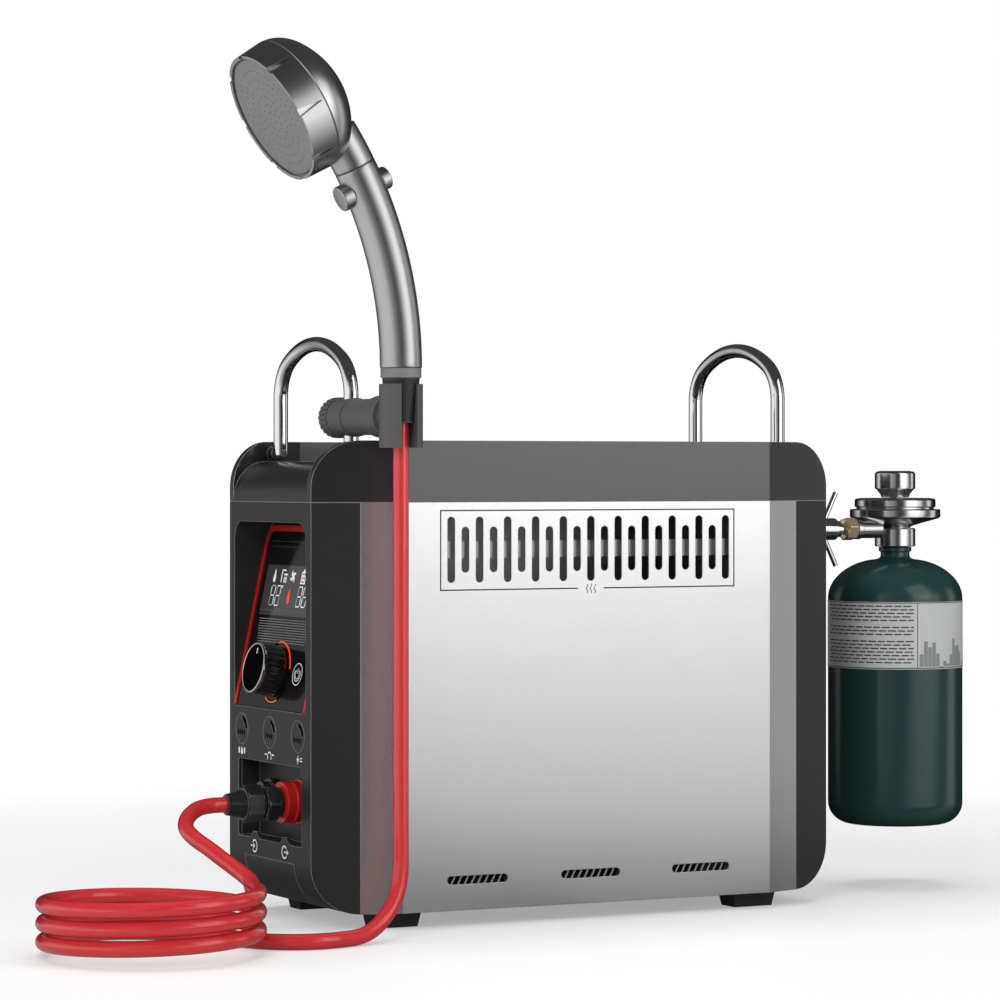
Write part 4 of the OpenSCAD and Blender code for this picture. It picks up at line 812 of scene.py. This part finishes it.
BUTTON_AT = 25.5
turned = math.radians(BUTTON_AT)
BUT = place(wand_point(BUTTON_AT), (0, 1, 0), (-math.cos(turned), 0, -math.sin(turned)))
button = lathe("spray_button_shape", [
    (0, -18), (6.6, -18), (7.3, -17.5), (7.5, -16.8), (7.5, -11.8), (4.5, -11.8), (4.5, 11.8),
    (8.5, 11.8), (8.5, 18.1), (8.2, 18.9), (7.5, 19.2), (0, 19.25)],
    satin, "spray_button_body", BUT, seg=72, sharp=35, slot="satin_chrome")
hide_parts("spray_button")

# ---------- rear screws ----------


def socket(a, r, h):
    """The six-sided recess in a screw head."""
    if 1.4 < r < 1.6:
        return 1.5 / math.cos(math.radians((math.degrees(a) + 30) % 60 - 30)) * 0.92
    return r


for i, (sx, sz) in enumerate([(x, z) for x in (-135, 135) for z in (44, 150, 262)]):
    spot = place((sx, REAR_Y, sz), (1, 0, 0), (0, 1, 0))
    lathe("screw_%d" % (i + 1), [(0, -2), (1.5, -2), (1.5, -9), (0, -9.2)], screw, "frame", spot,
          seg=24, slot="dark_screws")
    cap = lathe("screw_head_%d" % (i + 1), [
        (0, 0.35), (1.5, 0.35), (1.5, 1.25), (1.9, 1.45), (2.6, 1.3), (3.1, 0.8), (3.2, 0.2),
        (3.2, 0.0), (0, 0)],
        screw, "frame", spot, seg=48, radius=socket, slot="dark_screws")
    if i == 0:
        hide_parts("cover_screws")

# ---------- room ----------

world = bpy.data.worlds.new("room")
scene.world = world
world.use_nodes = True
ns, ln = world.node_tree.nodes, world.node_tree.links
ns.clear()
out = ns.new("ShaderNodeOutputWorld")
co = ns.new("ShaderNodeTexCoord")
sep = ns.new("ShaderNodeSeparateXYZ")
ln.new(co.outputs["Generated"], sep.inputs["Vector"])


def around(ns, ln, vector):
    """Brightness of the room by the direction round the upright axis."""
    part = ns.new("ShaderNodeSeparateXYZ")
    ln.new(vector, part.inputs["Vector"])
    turn = ns.new("ShaderNodeMath")
    turn.operation = "ARCTAN2"
    ln.new(part.outputs["Y"], turn.inputs[0])
    ln.new(part.outputs["X"], turn.inputs[1])
    unit = ns.new("ShaderNodeMapRange")
    unit.inputs["From Min"].default_value = -math.pi
    unit.inputs["From Max"].default_value = math.pi
    ln.new(turn.outputs[0], unit.inputs["Value"])
    walls = ns.new("ShaderNodeValToRGB")
    stops = [(0.0, 1.0), (0.085, 1.0), (0.105, 0.35), (0.15, 0.30), (0.185, 0.03), (0.238, 0.03),
             (0.268, 0.9), (0.375, 1.0), (0.395, 0.12), (0.44, 0.12), (0.455, 0.9), (0.485, 0.9),
             (0.505, 0.01), (0.79, 0.01), (0.86, 0.75), (0.93, 1.0)]
    for i, (pos, v) in enumerate(stops):
        e = walls.color_ramp.elements[i] if i < 2 else walls.color_ramp.elements.new(pos)
        e.position = pos
        e.color = (v, v, v * 1.01, 1)
    ln.new(unit.outputs["Result"], walls.inputs["Fac"])
    return walls.outputs["Color"]


walls = around(ns, ln, co.outputs["Generated"])
high = ns.new("ShaderNodeMapRange")
high.inputs["From Min"].default_value = 0.22
high.inputs["From Max"].default_value = 0.50
ln.new(sep.outputs["Z"], high.inputs["Value"])
sky = ns.new("ShaderNodeMix")
sky.data_type = "RGBA"
sky.inputs["B"].default_value = (0.05, 0.05, 0.05, 1)
ln.new(high.outputs["Result"], sky.inputs["Factor"])
ln.new(walls, sky.inputs["A"])
shiny = ns.new("ShaderNodeBackground")
shiny.inputs["Strength"].default_value = 1.0
ln.new(sky.outputs["Result"], shiny.inputs["Color"])
soft = ns.new("ShaderNodeBackground")
soft.inputs["Color"].default_value = (1, 1, 1, 1)
soft.inputs["Strength"].default_value = 0.34
white = ns.new("ShaderNodeBackground")
white.inputs["Color"].default_value = (1, 1, 1, 1)
white.inputs["Strength"].default_value = 1.0
lp = ns.new("ShaderNodeLightPath")
m1 = ns.new("ShaderNodeMixShader")
ln.new(lp.outputs["Is Glossy Ray"], m1.inputs["Fac"])
ln.new(soft.outputs[0], m1.inputs[1])
ln.new(shiny.outputs[0], m1.inputs[2])
m2 = ns.new("ShaderNodeMixShader")
ln.new(lp.outputs["Is Camera Ray"], m2.inputs["Fac"])
ln.new(m1.outputs[0], m2.inputs[1])
ln.new(white.outputs[0], m2.inputs[2])
ln.new(m2.outputs[0], out.inputs["Surface"])


def area(name, pos, target, size, power):
    d = bpy.data.lights.new(name, "AREA")
    d.shape = "RECTANGLE"
    d.size, d.size_y = size
    d.energy = power
    o = bpy.data.objects.new(name, d)
    scene.collection.objects.link(o)
    o.location = P(*pos)
    o.rotation_euler = (P(*target) - P(*pos)).to_track_quat("-Z", "Y").to_euler()
    o.visible_glossy = False
    return o


area("key", (-1500, -1700, 1500), (0, 0, 200), (1.2, 1.2), 30)
area("fill", (1400, -1800, 900), (0, 0, 150), (1.4, 1.4), 10)
area("top", (0, 200, 1900), (0, 0, 200), (1.6, 1.0), 22)
area("side", (-1900, 300, 700), (-200, 0, 200), (0.9, 1.4), 8)
# a small lamp that the metal and the glossy faces mirror as a pale card
card = area("card", (510, -1060, 760), (0, -87, 330), (0.78, 1.15), 3.3)
card.visible_glossy = True
card.visible_camera = False

floor_mesh = bpy.data.meshes.new("floor")
floor_mesh.from_pydata([(-6, -6, 0), (6, -6, 0), (6, 6, 0), (-6, 6, 0)], [], [(0, 1, 2, 3)])
floor = bpy.data.objects.new("floor", floor_mesh)
scene.collection.objects.link(floor)
fm = bpy.data.materials.new("floor")
fns, fln = nodes_of(fm)
fb = fns["Principled BSDF"]
fb.inputs["Base Color"].default_value = (0.86, 0.86, 0.86, 1)
fb.inputs["Roughness"].default_value = 0.5
fb.inputs["Specular IOR Level"].default_value = 0.2
flp = fns.new("ShaderNodeLightPath")
fem = fns.new("ShaderNodeEmission")
fem.inputs["Color"].default_value = (1, 1, 1, 1)
fem.inputs["Strength"].default_value = 1.0
fco = fns.new("ShaderNodeTexCoord")
far = fns.new("ShaderNodeVectorMath")
far.operation = "LENGTH"
fln.new(fco.outputs["Object"], far.inputs[0])
fade = fns.new("ShaderNodeMapRange")
fade.inputs["From Min"].default_value = 0.45
fade.inputs["From Max"].default_value = 1.1
fln.new(far.outputs["Value"], fade.inputs["Value"])
seen = fns.new("ShaderNodeMapRange")
seen.inputs["To Min"].default_value = 0.35
fln.new(fade.outputs["Result"], seen.inputs["Value"])
by_eye = fns.new("ShaderNodeMath")
by_eye.operation = "MULTIPLY"
fln.new(seen.outputs["Result"], by_eye.inputs[0])
fln.new(flp.outputs["Is Camera Ray"], by_eye.inputs[1])
fmix = fns.new("ShaderNodeMixShader")
fln.new(by_eye.outputs[0], fmix.inputs["Fac"])
fln.new(fb.outputs[0], fmix.inputs[1])
fln.new(fem.outputs[0], fmix.inputs[2])
mirrored = fns.new("ShaderNodeMapRange")
mirrored.inputs["From Min"].default_value = 0.28
mirrored.inputs["From Max"].default_value = 1.1
mirrored.inputs["To Min"].default_value = 0.10
fln.new(far.outputs["Value"], mirrored.inputs["Value"])
fem2 = fns.new("ShaderNodeEmission")
fln.new(around(fns, fln, fco.outputs["Object"]), fem2.inputs["Color"])
fln.new(mirrored.outputs["Result"], fem2.inputs["Strength"])
gmix = fns.new("ShaderNodeMixShader")
fln.new(flp.outputs["Is Glossy Ray"], gmix.inputs["Fac"])
fln.new(fmix.outputs[0], gmix.inputs[1])
fln.new(fem2.outputs[0], gmix.inputs[2])
fln.new(gmix.outputs[0], fns["Material Output"].inputs["Surface"])
floor_mesh.materials.append(fm)
